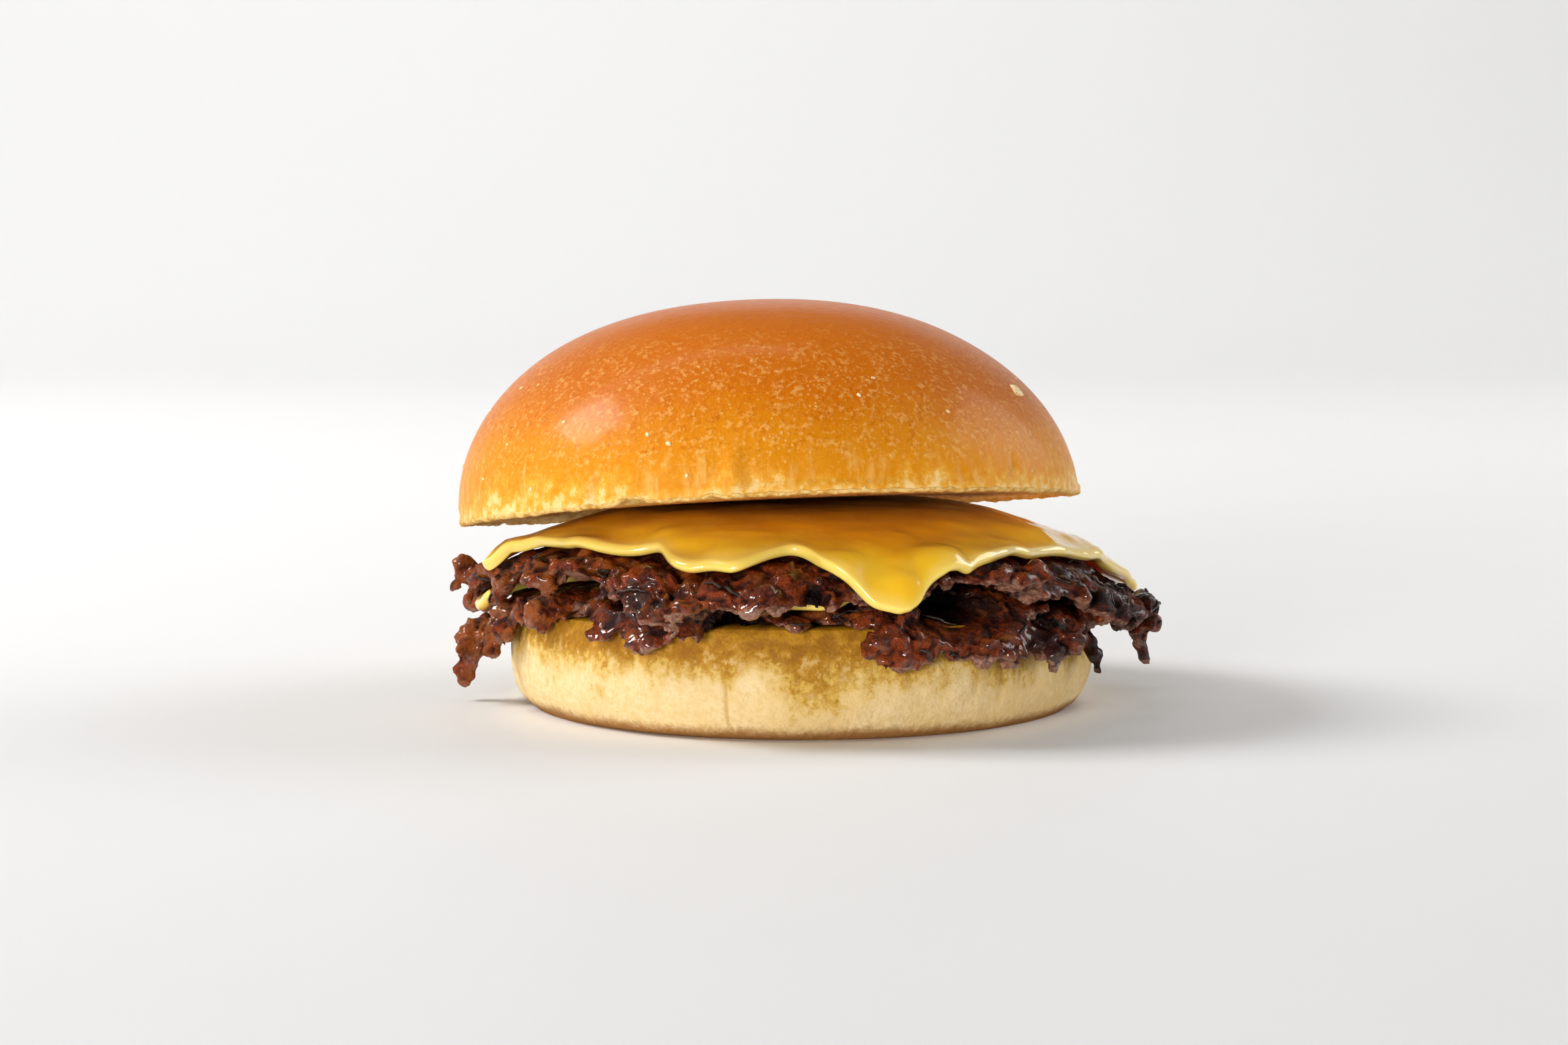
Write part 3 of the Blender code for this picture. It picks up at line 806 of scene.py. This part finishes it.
# Tan patches, partly real and partly painted light that is stronger on the left side.
fried_and_left_side_light = meat.step(tan + lit_left_side * 0.14 - shaded_right_side * 0.06, 0.52, 0.68)
seared = meat.mixed(fried_and_left_side_light * 0.62, seared, (0.30, 0.075, 0.006))
grey = meat.mixed(meat.step(speck, 0.35, 0.7), (0.20, 0.080, 0.050), (0.48, 0.27, 0.18))
pale = meat.step(under * 0.6 + patch * 0.8 + (speck - 0.5) * 0.3, 0.76, 0.98)
seared = meat.mixed(pale * 0.75 * (1 - lit_left_side * 0.5), seared, grey)
# Real scorch patches, with painted shade added on the right side and taken off the left.
scorch_and_right_side_shade = patch + (fibre - 0.5) * 0.45 + shaded_right_side * 0.16 - lit_left_side * 0.10 - under * 0.12
seared = meat.mixed(meat.step(scorch_and_right_side_shade, 0.56, 0.70) * 0.88, seared, (0.012, 0.005, 0.005))
# Painted shade: creases, hollows and narrow gaps are painted nearly black.
crease = 1 - meat.step(lump - shade_painted_hollow * 0.6, 0.10, 0.46)
seared = meat.mixed(crease * 0.88, seared, (0.008, 0.0015, 0.001))
seared = meat.mixed(meat.step(shade_painted_hollow, 0.30, 0.75) * 0.93, seared, (0.004, 0.001, 0.001))
wet = meat.step(meat.grain(at, 2.6 * MM, 4, 0.6), 0.45, 0.54)
crest = meat.step(lump - shade_painted_hollow * 0.6, 0.30, 0.55)
meat.feed(
    Base_Color=seared,
    Roughness=0.44 - wet * 0.16,
    Coat_Weight=wet * crest * (1 - lit_left_side * 0.5) * (1 - shaded_right_side * 0.4),
    Normal=meat.bump(speck * 1.2 + fibre * 0.7, 0.42 * MM, 1.0),
)


# %% [markdown]
# ## Two patties
# The lower patty lies on the heel and hangs over its edge in flaps. A few low lumps at its
# front are listed, and the rest is scattered.


# %% Making the patties
SHRED_START = 47 * MM  # shreds hang only from further out than this
LUMP_RADIUS = 49.8  # millimetres from the axis
LUMPS = (  # degrees, height and half size in mm
    (-16, 16.5, 1.5), (-12.5, 16.2, 1.8), (-9, 16.4, 1.7),
    (13.5, 14.8, 2.0), (16, 13.0, 1.9), (17.5, 15.6, 2.4),
    (19.5, 13.4, 2.1), (22.5, 14.6, 1.9), (28, 13.8, 1.9),
)


def patty(name, node, neighbours, nuggets, shreds, seed):
    around_it = tree_of(*(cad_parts[n] for n in neighbours))
    bm = solid_copy(node)
    bm.normal_update()
    rim = [(f.calc_center_median(), f.normal.copy()) for f in bm.faces if f.normal.z < 0.2]
    rim = [(spot, normal) for spot, normal in rim if spot.xy.length > SHRED_START]
    placed = add_nuggets(bm, around_it, nuggets, seed)
    if node == "patty_lower":
        for azimuth, height, half in LUMPS:
            spot = direction(azimuth) * LUMP_RADIUS * MM + Vector((0, 0, height * MM))
            size = (half * 1.5 * MM, half * MM, half * 0.6 * MM)
            add_nugget(bm, spot, size, facing(direction(azimuth)), round(azimuth))
    add_shreds(bm, rim, around_it, shreds, seed)
    bm = modified(bm, "REMESH", mode="VOXEL", voxel_size=MEAT_CELL)
    largest_shell(bm)
    hollowed(bm, around_it)
    grained(bm, around_it, seed)
    triangles = 2 * len(bm.faces)
    if triangles > MEAT_BUDGET:
        bm = modified(bm, "DECIMATE", ratio=MEAT_BUDGET / triangles)
    print(name, "has", placed, "nuggets, thinned from", triangles)
    return finished(name, bm, meat, node)


by_lower = ["bun_heel", "cheese_lower", "patty_upper"]
by_upper = ["bun_heel", "cheese_lower", "cheese_upper", "patty_lower"]
lower_patty = patty("lower_patty", "patty_lower", by_lower, nuggets=700, shreds=30, seed=3)
upper_patty = patty("upper_patty", "patty_upper", by_upper, nuggets=800, shreds=30, seed=8)

# %% [markdown]
# ## Melted cheese
# A processed slice softens and sags over the meat, and its cut edge draws up into a round lip.
# The slice is a flat grid laid over a height map of the meat: each point walks out from the
# middle along the surface by its distance on the flat slice, so the cheese keeps its size.

# %% Height maps
MAP_HALF = 68 * MM
MAP_CELL = 0.8 * MM
UP, DOWN = Vector((0, 0, 1)), Vector((0, 0, -1))


def heights_over(piece):
    """The highest point of a mesh over each cell of a square grid."""
    tree = tree_of(piece)
    side = 2 * round(MAP_HALF / MAP_CELL) + 1
    z = np.zeros((side, side))
    for i in range(side):
        for j in range(side):
            above = Vector((i * MAP_CELL - MAP_HALF, j * MAP_CELL - MAP_HALF, 1))
            hit = tree.ray_cast(above, DOWN)[0]
            z[i, j] = hit.z if hit else 0.0
    return z


def widened(z, reach):
    """Each cell takes the highest value within `reach`."""
    n = math.ceil(reach / MAP_CELL)
    square = [(i, j) for i in range(-n, n + 1) for j in range(-n, n + 1)]
    steps = [step for step in square if math.hypot(*step) * MAP_CELL <= reach]
    return np.max([np.roll(z, step, (0, 1)) for step in steps], axis=0)


def skirted(z, fall):
    """Hangs a skirt of slope `fall` from every edge."""
    steps = [(i, j) for i in (-1, 0, 1) for j in (-1, 0, 1)]
    for _ in range(math.ceil(z.max() / (fall * MAP_CELL))):
        lower = [np.roll(z, step, (0, 1)) - fall * MAP_CELL * math.hypot(*step) for step in steps]
        z = np.max(lower, axis=0)
    return z


def eased(z, rounds):
    """Smooths a map, but never below what it was."""
    made, cross = z, ((0, 0), (1, 0), (-1, 0), (0, 1), (0, -1))
    for _ in range(rounds):
        made = np.maximum(z, sum(np.roll(made, step, (0, 1)) for step in cross) / len(cross))
    return made


def sampled(z, xy):
    place = np.clip((xy + MAP_HALF) / MAP_CELL, 0, len(z) - 1.001)
    i, j = place.astype(int).T
    u, v = (place - place.astype(int)).T
    near = z[i, j] * (1 - v) + z[i, j + 1] * v
    far = z[i + 1, j] * (1 - v) + z[i + 1, j + 1] * v
    return near * (1 - u) + far * u


# %% [markdown]
# The rim isn't straight: where the slice ran, a drip reaches further out. The lip is a bead
# whose half thickness follows a circle at the very edge and eases into the sheet.

# %% A slice and its lip
Drip = namedtuple("Drip", "azimuth half_width reach")  # degrees and millimetres
Slice = namedtuple("Slice", "side corner centre turn fall drips")
SLICE_THICKNESS = 1.8 * MM
LIP_EASE = 4 * MM
SLICE_CELLS = 100
RESTING_GAP = 0.3 * MM  # between the slice and the meat under it
LID_GAP = 0.1 * MM  # between the slice and the layer on top of it


def slice_outline(piece, x, y):
    """A point of the flat slice, from its place in a square from -1 to 1."""
    half = piece.side / 2
    point = Vector((x * half, y * half))
    inner = half - piece.corner
    if abs(point.x) > inner and abs(point.y) > inner:
        corner = Vector((math.copysign(inner, point.x), math.copysign(inner, point.y)))
        over = point - corner
        point = corner + over.normalized() * max(abs(over.x), abs(over.y))
    point = Matrix.Rotation(math.radians(piece.turn), 2) @ point
    share = max(abs(x), abs(y))
    if share == 0:
        return point
    azimuth = azimuth_of(point)
    run = 0
    for drip in piece.drips:
        run += drip.reach * smooth_bump(turn_between(azimuth, drip.azimuth) / drip.half_width)
    wave = 0.8 * wobble((point.x, point.y, 0), 9 * MM, piece.turn)
    wave += 0.5 * wobble((*direction(azimuth).xy * 40 * MM, 0), 4 * MM, 2)
    return point + point.normalized() * (run + wave) * MM * share**5


def walked_out(support, centre, flat):
    """Each point goes as far along the sagging surface as it was from the middle when flat."""
    length = np.maximum(np.linalg.norm(flat, axis=1), 1e-9)
    along = flat / length[:, None]
    spot, walked, stride = centre + 0 * flat, 0.0, 0.6 * MM
    while walked < length.max():
        part = np.clip(length - walked, 1e-9, stride)
        rise = sampled(support, spot + along * part[:, None]) - sampled(support, spot)
        spot = spot + along * (part * part / np.hypot(part, rise))[:, None]
        walked += stride
    return spot


def lip(distance, bead):
    """Half the thickness of the sheet at this distance from its rim."""
    if distance < bead:
        return bead * math.sqrt(max(0.05, 1 - (1 - distance / bead) ** 2))
    flat = SLICE_THICKNESS / 2
    return flat + (bead - flat) * (1 - smooth_step((distance - bead) / LIP_EASE))


# %% Draping a slice
def draped(name, node, piece, below, above, finish):
    ceiling = tree_of(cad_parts[above])
    support = eased(skirted(widened(heights_over(below), 2.0 * MM), piece.fall), 14)
    bm = bmesh.new()
    bmesh.ops.create_grid(bm, x_segments=SLICE_CELLS, y_segments=SLICE_CELLS, size=1)
    rim_layer = bm.verts.layers.float.new("rim_distance")
    flat = []
    for v in bm.verts:
        x, y = (math.copysign(1 - (1 - min(abs(c), 1)) ** 1.4, c) for c in v.co.xy)
        v[rim_layer] = (1 - max(abs(x), abs(y))) * piece.side / 2
        flat.append(slice_outline(piece, x, y))
    spots = walked_out(support, np.array(piece.centre), np.array(flat))
    for v, spot, z in zip(bm.verts, spots, sampled(support, spots)):
        sag = 0.3 * MM * wobble((*spot, 0), 12 * MM, piece.turn)
        v.co = (*spot, z + RESTING_GAP + max(0.0, sag))
    bm.normal_update()
    skin = bmesh.ops.extrude_face_region(bm, geom=list(bm.faces), use_keep_orig=True)
    top = {item for item in skin["geom"] if isinstance(item, bmesh.types.BMVert)}
    bm.verts.index_update()
    for v in bm.verts:
        normal = v.normal if v.normal.z > 0 else -v.normal
        around = direction(azimuth_of(v.co)) * 40 * MM
        bead = (0.94 + 0.3 * wobble(around, 9 * MM, piece.turn)) * MM
        half = lip(v[rim_layer], bead)
        middle = max(SLICE_THICKNESS / 2, 0.85 * (half if v[rim_layer] > bead else bead))
        v.co += normal * (middle + (half if v in top else -half))
        lid = ceiling.ray_cast(Vector((v.co.x, v.co.y, 5 * MM)), UP)[0]
        if lid and lid.z - LID_GAP < v.co.z < lid.z + 4 * MM:
            v.co.z = lid.z - LID_GAP
    bmesh.ops.recalc_face_normals(bm, faces=bm.faces)
    made = finished(name, bm, finish, node)
    smooth = made.modifiers.new("soften", "SUBSURF")
    smooth.levels = smooth.render_levels = 1


# %% [markdown]
# ## Cheese finish
# Processed cheese is smooth, deep yellow and slightly see-through. Further in from the rim the
# sheet is painted deeper orange, as painted shade under the layer on top, and the thin lip is
# painted paler, as painted light for its sheen and the glow through the edge. Over that lie
# faint clouds of colour and shallow ripples.

# %% Cheese finish
cheese = Finish(
    "melted_cheese",
    Subsurface_Weight=0.5,
    Subsurface_Radius=(1.0, 0.55, 0.06),
    Subsurface_Scale=0.004,
    Coat_Roughness=0.06,
    Coat_Weight=0.9,
    IOR=1.45,
    Specular_IOR_Level=0.4,
)
at = cheese.place()
cloud = cheese.grain(at, 9 * MM, 3)
dusting = cheese.grain(at, 0.8 * MM, 3)
# Painted shade: further in from the rim, under the layer on top, the sheet is painted deeper orange.
inner_shade_depth = cheese.attribute("rim_distance") + (cloud - 0.5) * 0.012
yellow = cheese.mixed(cheese.step(inner_shade_depth, 3 * MM, 14 * MM), (0.98, 0.53, 0.018), (0.98, 0.41, 0.003))
# Painted light: the lip is painted paler, for its sheen and the glow through the thin edge.
lip_painted_light = 1 - cheese.step(cheese.attribute("rim_distance"), 0.3 * MM, 3.6 * MM)
yellow = cheese.mixed(lip_painted_light * 0.7, yellow, (0.98, 0.67, 0.17))
tiny = 1 - cheese.step(cheese.cells(at, 7 * MM), 0.025, 0.045)
yellow = cheese.mixed(tiny * 0.6, yellow, (0.35, 0.14, 0.02))
cheese.feed(
    Base_Color=yellow,
    Roughness=0.30 + (dusting - 0.5) * 0.08,
    Normal=cheese.bump(cheese.grain(at, 5 * MM, 2) + dusting * 0.02, 0.55 * MM, 0.4),
)

# %% Two slices
LOWER_SLICE = Slice(
    side=77 * MM,
    corner=13 * MM,
    centre=(-3.5 * MM, 2.5 * MM),
    turn=50,
    fall=2.2,
    drips=(Drip(5, 14, 0.8), Drip(-85, 12, 1.5), Drip(-60, 20, -6.0)),
)
UPPER_SLICE = Slice(
    side=88 * MM,
    corner=3 * MM,
    centre=(0.5 * MM, -0.5 * MM),
    turn=62,
    fall=2.2,
    drips=(
        Drip(19, 12, -5.4), Drip(30, 7, -1.6), Drip(7, 6, -1.8),
        Drip(-1, 8, -4.6), Drip(-13, 7, 4.4), Drip(-18.5, 5.5, 3.2),
        Drip(-24, 8, 5.0), Drip(-43, 13, 1.2), Drip(-70, 26, -7.5),
    ),
)
draped("lower_slice", "cheese_lower", LOWER_SLICE, lower_patty, "patty_upper", cheese)
draped("upper_slice", "cheese_upper", UPPER_SLICE, upper_patty, "bun_crown", cheese)

# %% [markdown]
# ## Crown of the bun
# The crown is a glazed dome. Its top is smooth and brown, its lower wall is streaked upright
# where the skin stretched, and its cut edge is a ragged line of pale crumb. It is turned like
# the heel, and its cut face is laid on the solid crown's, which the cheese already presses.

# %% Crown profile
BUN_RADIUS = 50.1 * MM
CROWN_HEIGHT = 34.0 * MM
CROWN_CENTRE = Vector((-5.0 * MM, 0, 31.0 * MM))
CROWN_ROLL, CROWN_PITCH, CROWN_CUT_TILT = 0.4, 6.0, 2.5  # degrees
CROWN_POWER = 2.1
CROWN_FULLER_LEFT = 0.05
CROWN_CUT_HOLLOW = 1.4 * MM
CROWN_FRONT_ARCH = 1.7 * MM


def crown_profile():
    dome = []
    for index in range(96):
        a = math.radians(90 - 90 * index / 95)
        radius = BUN_RADIUS * max(math.cos(a), 0.0) ** (2 / CROWN_POWER)
        height = CROWN_HEIGHT * max(math.sin(a), 0.0) ** (2 / CROWN_POWER)
        dome.append((radius if index else 0.0, height))
    tuck = ((0.2, 0.22), (0.6, 0.34), (1.2, 0.28))
    turned_under = [(BUN_RADIUS - inset * MM, -down * MM) for inset, down in tuck]
    cut = []
    for index in range(37):
        share = 0.96 * (1 - index / 36)
        cut.append((BUN_RADIUS * share, CROWN_CUT_HOLLOW * (1 - share**2)))
    return dome + turned_under + cut


CROWN_POSE = (
    Matrix.Translation(CROWN_CENTRE)
    @ Matrix.Rotation(math.radians(-CROWN_ROLL), 4, "Y")
    @ Matrix.Rotation(math.radians(-CROWN_PITCH), 4, "X")
)
print(len(crown_profile()), "points in the crown's section")


# %% [markdown]
# The wall has a few upright creases and one torn flap at the rim. `ragged` is how far the cut
# edge rises or hangs at each azimuth.


# %% Crown relief
Crease = namedtuple("Crease", "azimuth width low high depth")  # degrees, mm, shares, mm
CREASES = (
    Crease(-31, 1.6, 0.0, 0.20, 0.7),
    Crease(-6, 2.4, 0.0, 0.28, -0.45),
    Crease(49, 1.0, 0.06, 0.22, 0.5),
    Crease(36, 0.8, 0.04, 0.16, 0.35),
    Crease(-48, 1.2, 0.02, 0.15, 0.3),
    Crease(110, 1.4, 0.02, 0.2, 0.4),
    Crease(160, 1.6, 0.0, 0.22, 0.5),
    Crease(-130, 1.2, 0.02, 0.18, 0.4),
)


def ragged(azimuth):
    """How far the cut edge is torn at this azimuth, in metres. Positive is up into the crust."""
    around = direction(azimuth) * BUN_RADIUS
    tear = max(0.0, wobble(around, 6 * MM, 21) - 0.3) * 1.6
    return (0.22 * wobble(around, 2.2 * MM, 20) + 0.22 * wobble(around, 0.8 * MM, 22) + tear) * MM


def wall_relief(azimuth, share):
    """How far the lower wall stands out, in metres."""
    around = direction(azimuth) * BUN_RADIUS
    low = 1 - smooth_step(share / 0.5)
    fold = wobble((around.x, around.y, share * 12 * MM), 4.5 * MM, 30)
    made = (0.12 * fold + 0.10 * wobble((around.x, around.y, share * 14 * MM), 1.8 * MM, 31)) * low
    for crease in CREASES:
        off = turn_between(azimuth, crease.azimuth + 2 * wobble((crease.azimuth, share * 9, 0), 1.0, 3))
        off *= BUN_RADIUS / MM * math.pi / 180
        if abs(off) < crease.width and crease.low <= share < crease.high:
            ends = smooth_step((crease.high - share) / 0.08)
            made -= crease.depth * smooth_bump(off / crease.width) * ends
    return made * MM


# %% Crown mesh
cad_crown = tree_of(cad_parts["bun_crown"])
bm = spun(crown_profile())
wrap_layer = bm.verts.layers.float_vector.new("wrap")
cut_layer = bm.verts.layers.float.new("cut")
for v in bm.verts:
    out = v.co.xy.length / BUN_RADIUS
    share = v.co.z / CROWN_HEIGHT
    azimuth = azimuth_of(v.co)
    around = direction(azimuth) * BUN_RADIUS
    on_cut = share < 0.05 and (out < 0.975 or v.co.z < -0.25 * MM)
    v[wrap_layer] = (around.x, around.y, v.co.z)
    v[cut_layer] = 1.0 if on_cut else 0.0
    v.co.xy *= 1 + (wall_relief(azimuth, max(share, 0)) if not on_cut else 0) / BUN_RADIUS
    edge = smooth_step((out - 0.93) / 0.03) * max(0.0, 1 - max(share, 0) / 0.07) ** 1.5
    lift = ragged(azimuth) * edge
    if on_cut and out < 0.97:
        lift += 0.5 * MM * max(0.0, 0.2 + wobble(v.co, 2.2 * MM, 40) + 0.5 * wobble(v.co, 0.9 * MM, 41))
    if share > 0.05:
        fuller = CROWN_FULLER_LEFT * -v.co.x / BUN_RADIUS * share * (1 - share)
        v.co.xy *= 1 + fuller + 0.012 * wobble(v.co, 30 * MM, 4)
        v.co.z += 0.5 * MM * wobble(v.co, 24 * MM, 6)
    arch = max(0.0, -v.co.y / BUN_RADIUS) ** 2 * max(0.0, 1 - 2.5 * share)
    v.co.z += CROWN_FRONT_ARCH * arch * out + lift
    v.co.z += v.co.x * math.tan(math.radians(CROWN_CUT_TILT)) * max(0.0, 1 - max(share, 0)) ** 3
    v.co = CROWN_POSE @ v.co
    if on_cut:
        hit = cad_crown.ray_cast(Vector((v.co.x, v.co.y, 0)), UP)[0]
        if hit and out < 0.9:
            v.co.z = max(v.co.z, hit.z + max(0.0, lift))
bmesh.ops.recalc_face_normals(bm, faces=bm.faces)

# %% [markdown]
# ## Crust finish
# Egg wash and heat make the colour: deep orange-brown on top, golden on the wall, and straw
# at the cut. Over that lie fine upright streaks, tiny pale blisters and a soft gloss.

# %% Crust finish
crust = Finish(
    "glazed_crust",
    Subsurface_Weight=0.05,
    Subsurface_Radius=(1.0, 0.45, 0.15),
    Subsurface_Scale=0.002,
    Coat_Roughness=0.16,
    Specular_IOR_Level=0.06,
)
wrap = crust.attribute("wrap", "Vector")
at = crust.place()
height = crust.part_of(wrap, "Z") / CROWN_HEIGHT
patch = crust.grain(at, 16 * MM, 3)
mottle = crust.grain(at, 1.8 * MM, 5, 0.68)
fine = crust.grain(at, 0.8 * MM, 4, 0.65)
streak = crust.grain(crust.scaled(wrap, (1, 1, 0.25)), 2.0 * MM, 4, 0.6)
low = 1 - crust.step(height, 0.06, 0.35)
browning = height + (patch - 0.5) * 0.30 + (mottle - 0.5) * 0.42 + (streak - 0.5) * 0.20 * low
straw = crust.mixed(crust.step(browning, -0.06, 0.05), (0.86, 0.58, 0.24), (0.78, 0.39, 0.045))
golden = crust.mixed(crust.step(browning, -0.02, 0.14), straw, (0.68, 0.240, 0.006))
amber = crust.mixed(crust.step(browning, 0.16, 0.58), golden, (0.56, 0.135, 0.001))
streaky = crust.mixed(crust.step(streak, 0.52, 0.70) * low * 0.42, amber, (0.88, 0.56, 0.17))
pit = crust.cells(at, 1.05 * MM)
band = crust.step(height, 0.06, 0.22) * (1 - crust.step(height, 0.62, 0.88))
blister = (1 - crust.step(pit, 0.10, 0.32)) * crust.step(crust.grain(at, 5 * MM, 3), 0.44, 0.60)
pale = crust.step(fine + (mottle - 0.5) * 0.7, 0.50, 0.70) * 0.38 + blister * 0.32
speckled = crust.mixed(pale * band, streaky, (0.92, 0.55, 0.16))
dark = crust.step(1 - fine + (mottle - 0.5) * 0.5, 0.54, 0.74) * crust.step(height, 0.08, 0.3)
speckled = crust.mixed(dark * 0.45, speckled, (0.44, 0.095, 0.001))
crumb_grain = crust.grain(at, 1.2 * MM, 5, 0.7)
crumb = crust.mixed(crust.step(crumb_grain, 0.36, 0.6), (0.60, 0.30, 0.05), (0.86, 0.58, 0.21))
edge = 1 - crust.step(height + (streak - 0.5) * 0.03, 0.002, 0.016)
cut = crust.step(crust.attribute("cut") + edge * 0.8, 0.3, 0.8)
relief = mottle * 0.9 + fine * 0.6 * band + streak * low * 0.5 + blister * band * 0.3
crust.feed(
    Base_Color=crust.mixed(cut, speckled, crumb),
    Roughness=0.34 + (mottle - 0.5) * 0.3 + cut * 0.4,
    Coat_Weight=crust.step(height, 0.03, 0.3) * 0.125 * (1 - cut),
    Normal=crust.bump(relief + crumb_grain * cut * 1.5, 0.30 * MM, 0.8),
)
crown = finished("crown_of_bun", bm, crust, "bun_crown")

# %% [markdown]
# ## Charred threads and crumbs
# Thin threads of meat burn black and stick to the patties, and a few flakes of crumb cling to
# the bun. Each thread is a small ring extruded along a path, whose points are cast inwards on
# to the piece that carries it.

# %% Threads
Thread = namedtuple("Thread", "azimuth height turn rise girth")  # degrees, mm, degrees, mm, mm
THREADS = [
    Thread(-31, 18.4, -8, -5.0, 0.55),
    Thread(-17, 24.2, 7, -1.6, 0.45),
    Thread(-41, 25.2, 3, -1.2, 0.42),
    Thread(20, 14.4, 5, -3.6, 0.52),
    Thread(26, 13.0, -4, -2.4, 0.45),
    Thread(46, 13.6, 7, -1.2, 0.52),
    Thread(28, 24.6, 0.5, -1.0, 0.28),
]
draw = random.Random(17)
THREADS += [
    Thread(*drawn(draw, (-180, 180), (13, 26), (-8, 8), (-4, 3), (0.22, 0.4))) for _ in range(60)
]
meat_tree = tree_of(lower_patty, upper_patty)


def cast_in(tree, azimuth, height):
    """Where a level ray from outside meets a piece, and the normal there."""
    out = direction(azimuth) * 80 * MM
    return tree.ray_cast(Vector((out.x, out.y, height)), -out.normalized())[:2]


def add_thread(bm, path, girth):
    ring = bmesh.ops.create_circle(bm, radius=1, segments=6)["verts"]
    edges = list(dict.fromkeys(e for v in ring for e in v.link_edges))
    here = Matrix.Identity(4)
    for index, (spot, heading) in enumerate(path):
        taper = girth * (0.35 + 0.65 * math.sin(math.pi * (index + 0.5) / len(path)))
        there = Matrix.Translation(spot) @ facing(heading)
        there = there @ Matrix.Diagonal((taper, taper * 0.7, taper, 1))
        if index:
            made = bmesh.ops.extrude_edge_only(bm, edges=edges)["geom"]
            ring = [item for item in made if isinstance(item, bmesh.types.BMVert)]
            edges = [item for item in made if isinstance(item, bmesh.types.BMEdge)]
            edges = [e for e in edges if all(v in ring for v in e.verts)]
        bmesh.ops.transform(bm, matrix=there @ here.inverted(), verts=ring)
        here = there


bm = bmesh.new()
for number, thread in enumerate(THREADS):
    spots = []
    for i in range(9):
        along = i / 8
        sway = 1.2 * wobble((along * 3, number, 0), 1.0, 5)
        azimuth = thread.azimuth + thread.turn * along + sway
        height = thread.height + thread.rise * along + sway * 0.4
        spot, normal = cast_in(meat_tree, azimuth, height * MM)
        if spot is not None and (not spots or (spot - spots[-1]).length < 2.2 * MM):
            spots.append(spot + normal * 0.3 * MM)
    if len(spots) > 4:
        headings = [(b - a).normalized() for a, b in zip(spots, spots[1:])]
        add_thread(bm, list(zip(spots, headings + headings[-1:])), thread.girth * MM)
bmesh.ops.holes_fill(bm, edges=bm.edges)
bmesh.ops.recalc_face_normals(bm, faces=bm.faces)

# %% [markdown]
# Burnt meat is nearly black, with a dry sheen on its ridges.

# %% Char finish
char = Finish("charred_thread", Specular_IOR_Level=0.5)
at = char.place()
ash = char.grain(at, 0.5 * MM, 3)
char.feed(
    Base_Color=char.mixed(char.step(ash, 0.4, 0.7), (0.008, 0.005, 0.005), (0.055, 0.022, 0.014)),
    Roughness=0.30 + ash * 0.3,
    Normal=char.bump(ash, 0.2 * MM, 0.8),
)
finished("charred_threads", bm, char)

# %% Crumbs on the crust
crown_tree = tree_of(crown)
bm = bmesh.new()
draw = random.Random(23)
FLAKES = [(63, 51.2, 1.5), (61.6, 51.0, 0.9), (-24, 45.0, 0.5), (12, 52.0, 0.4)]
FLAKES += [drawn(draw, (-180, 180), (36, 56), (0.25, 0.5)) for _ in range(26)]
for number, (azimuth, height, girth) in enumerate(FLAKES):
    spot, normal = cast_in(crown_tree, azimuth, height * MM)
    lie = facing(normal, "Z", "X") @ Matrix.Rotation(draw.uniform(0, 6), 4, "Z")
    made = bmesh.ops.create_icosphere(bm, subdivisions=2, radius=1)["verts"]
    for v in made:
        v.co *= 1 + 0.4 * wobble(v.co, 0.8, number)
    size = Matrix.Diagonal((girth * MM, girth * 0.7 * MM, girth * 0.3 * MM, 1))
    place = Matrix.Translation(spot + normal * 0.1 * girth * MM) @ lie @ size
    bmesh.ops.transform(bm, matrix=place, verts=made)
flake = Finish(
    "crumb_flake", Subsurface_Weight=0.1, Subsurface_Radius=(1, 0.6, 0.3), Subsurface_Scale=0.001
)
grain = flake.grain(flake.place(), 0.5 * MM, 3)
flake.feed(
    Base_Color=flake.mixed(flake.step(grain, 0.35, 0.65), (0.72, 0.46, 0.18), (0.92, 0.74, 0.46)),
    Roughness=0.8 - grain * 0.2,
    Normal=flake.bump(grain, 0.2 * MM, 0.8),
)
finished("crust_crumbs", bm, flake)

# %% [markdown]
# ## Size of the dressed burger
# The box round every shown piece but the table is printed in millimetres.

# %% Sizes
low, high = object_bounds()
print("visual box mm", [round(c / MM, 1) for c in (*low, *high)])
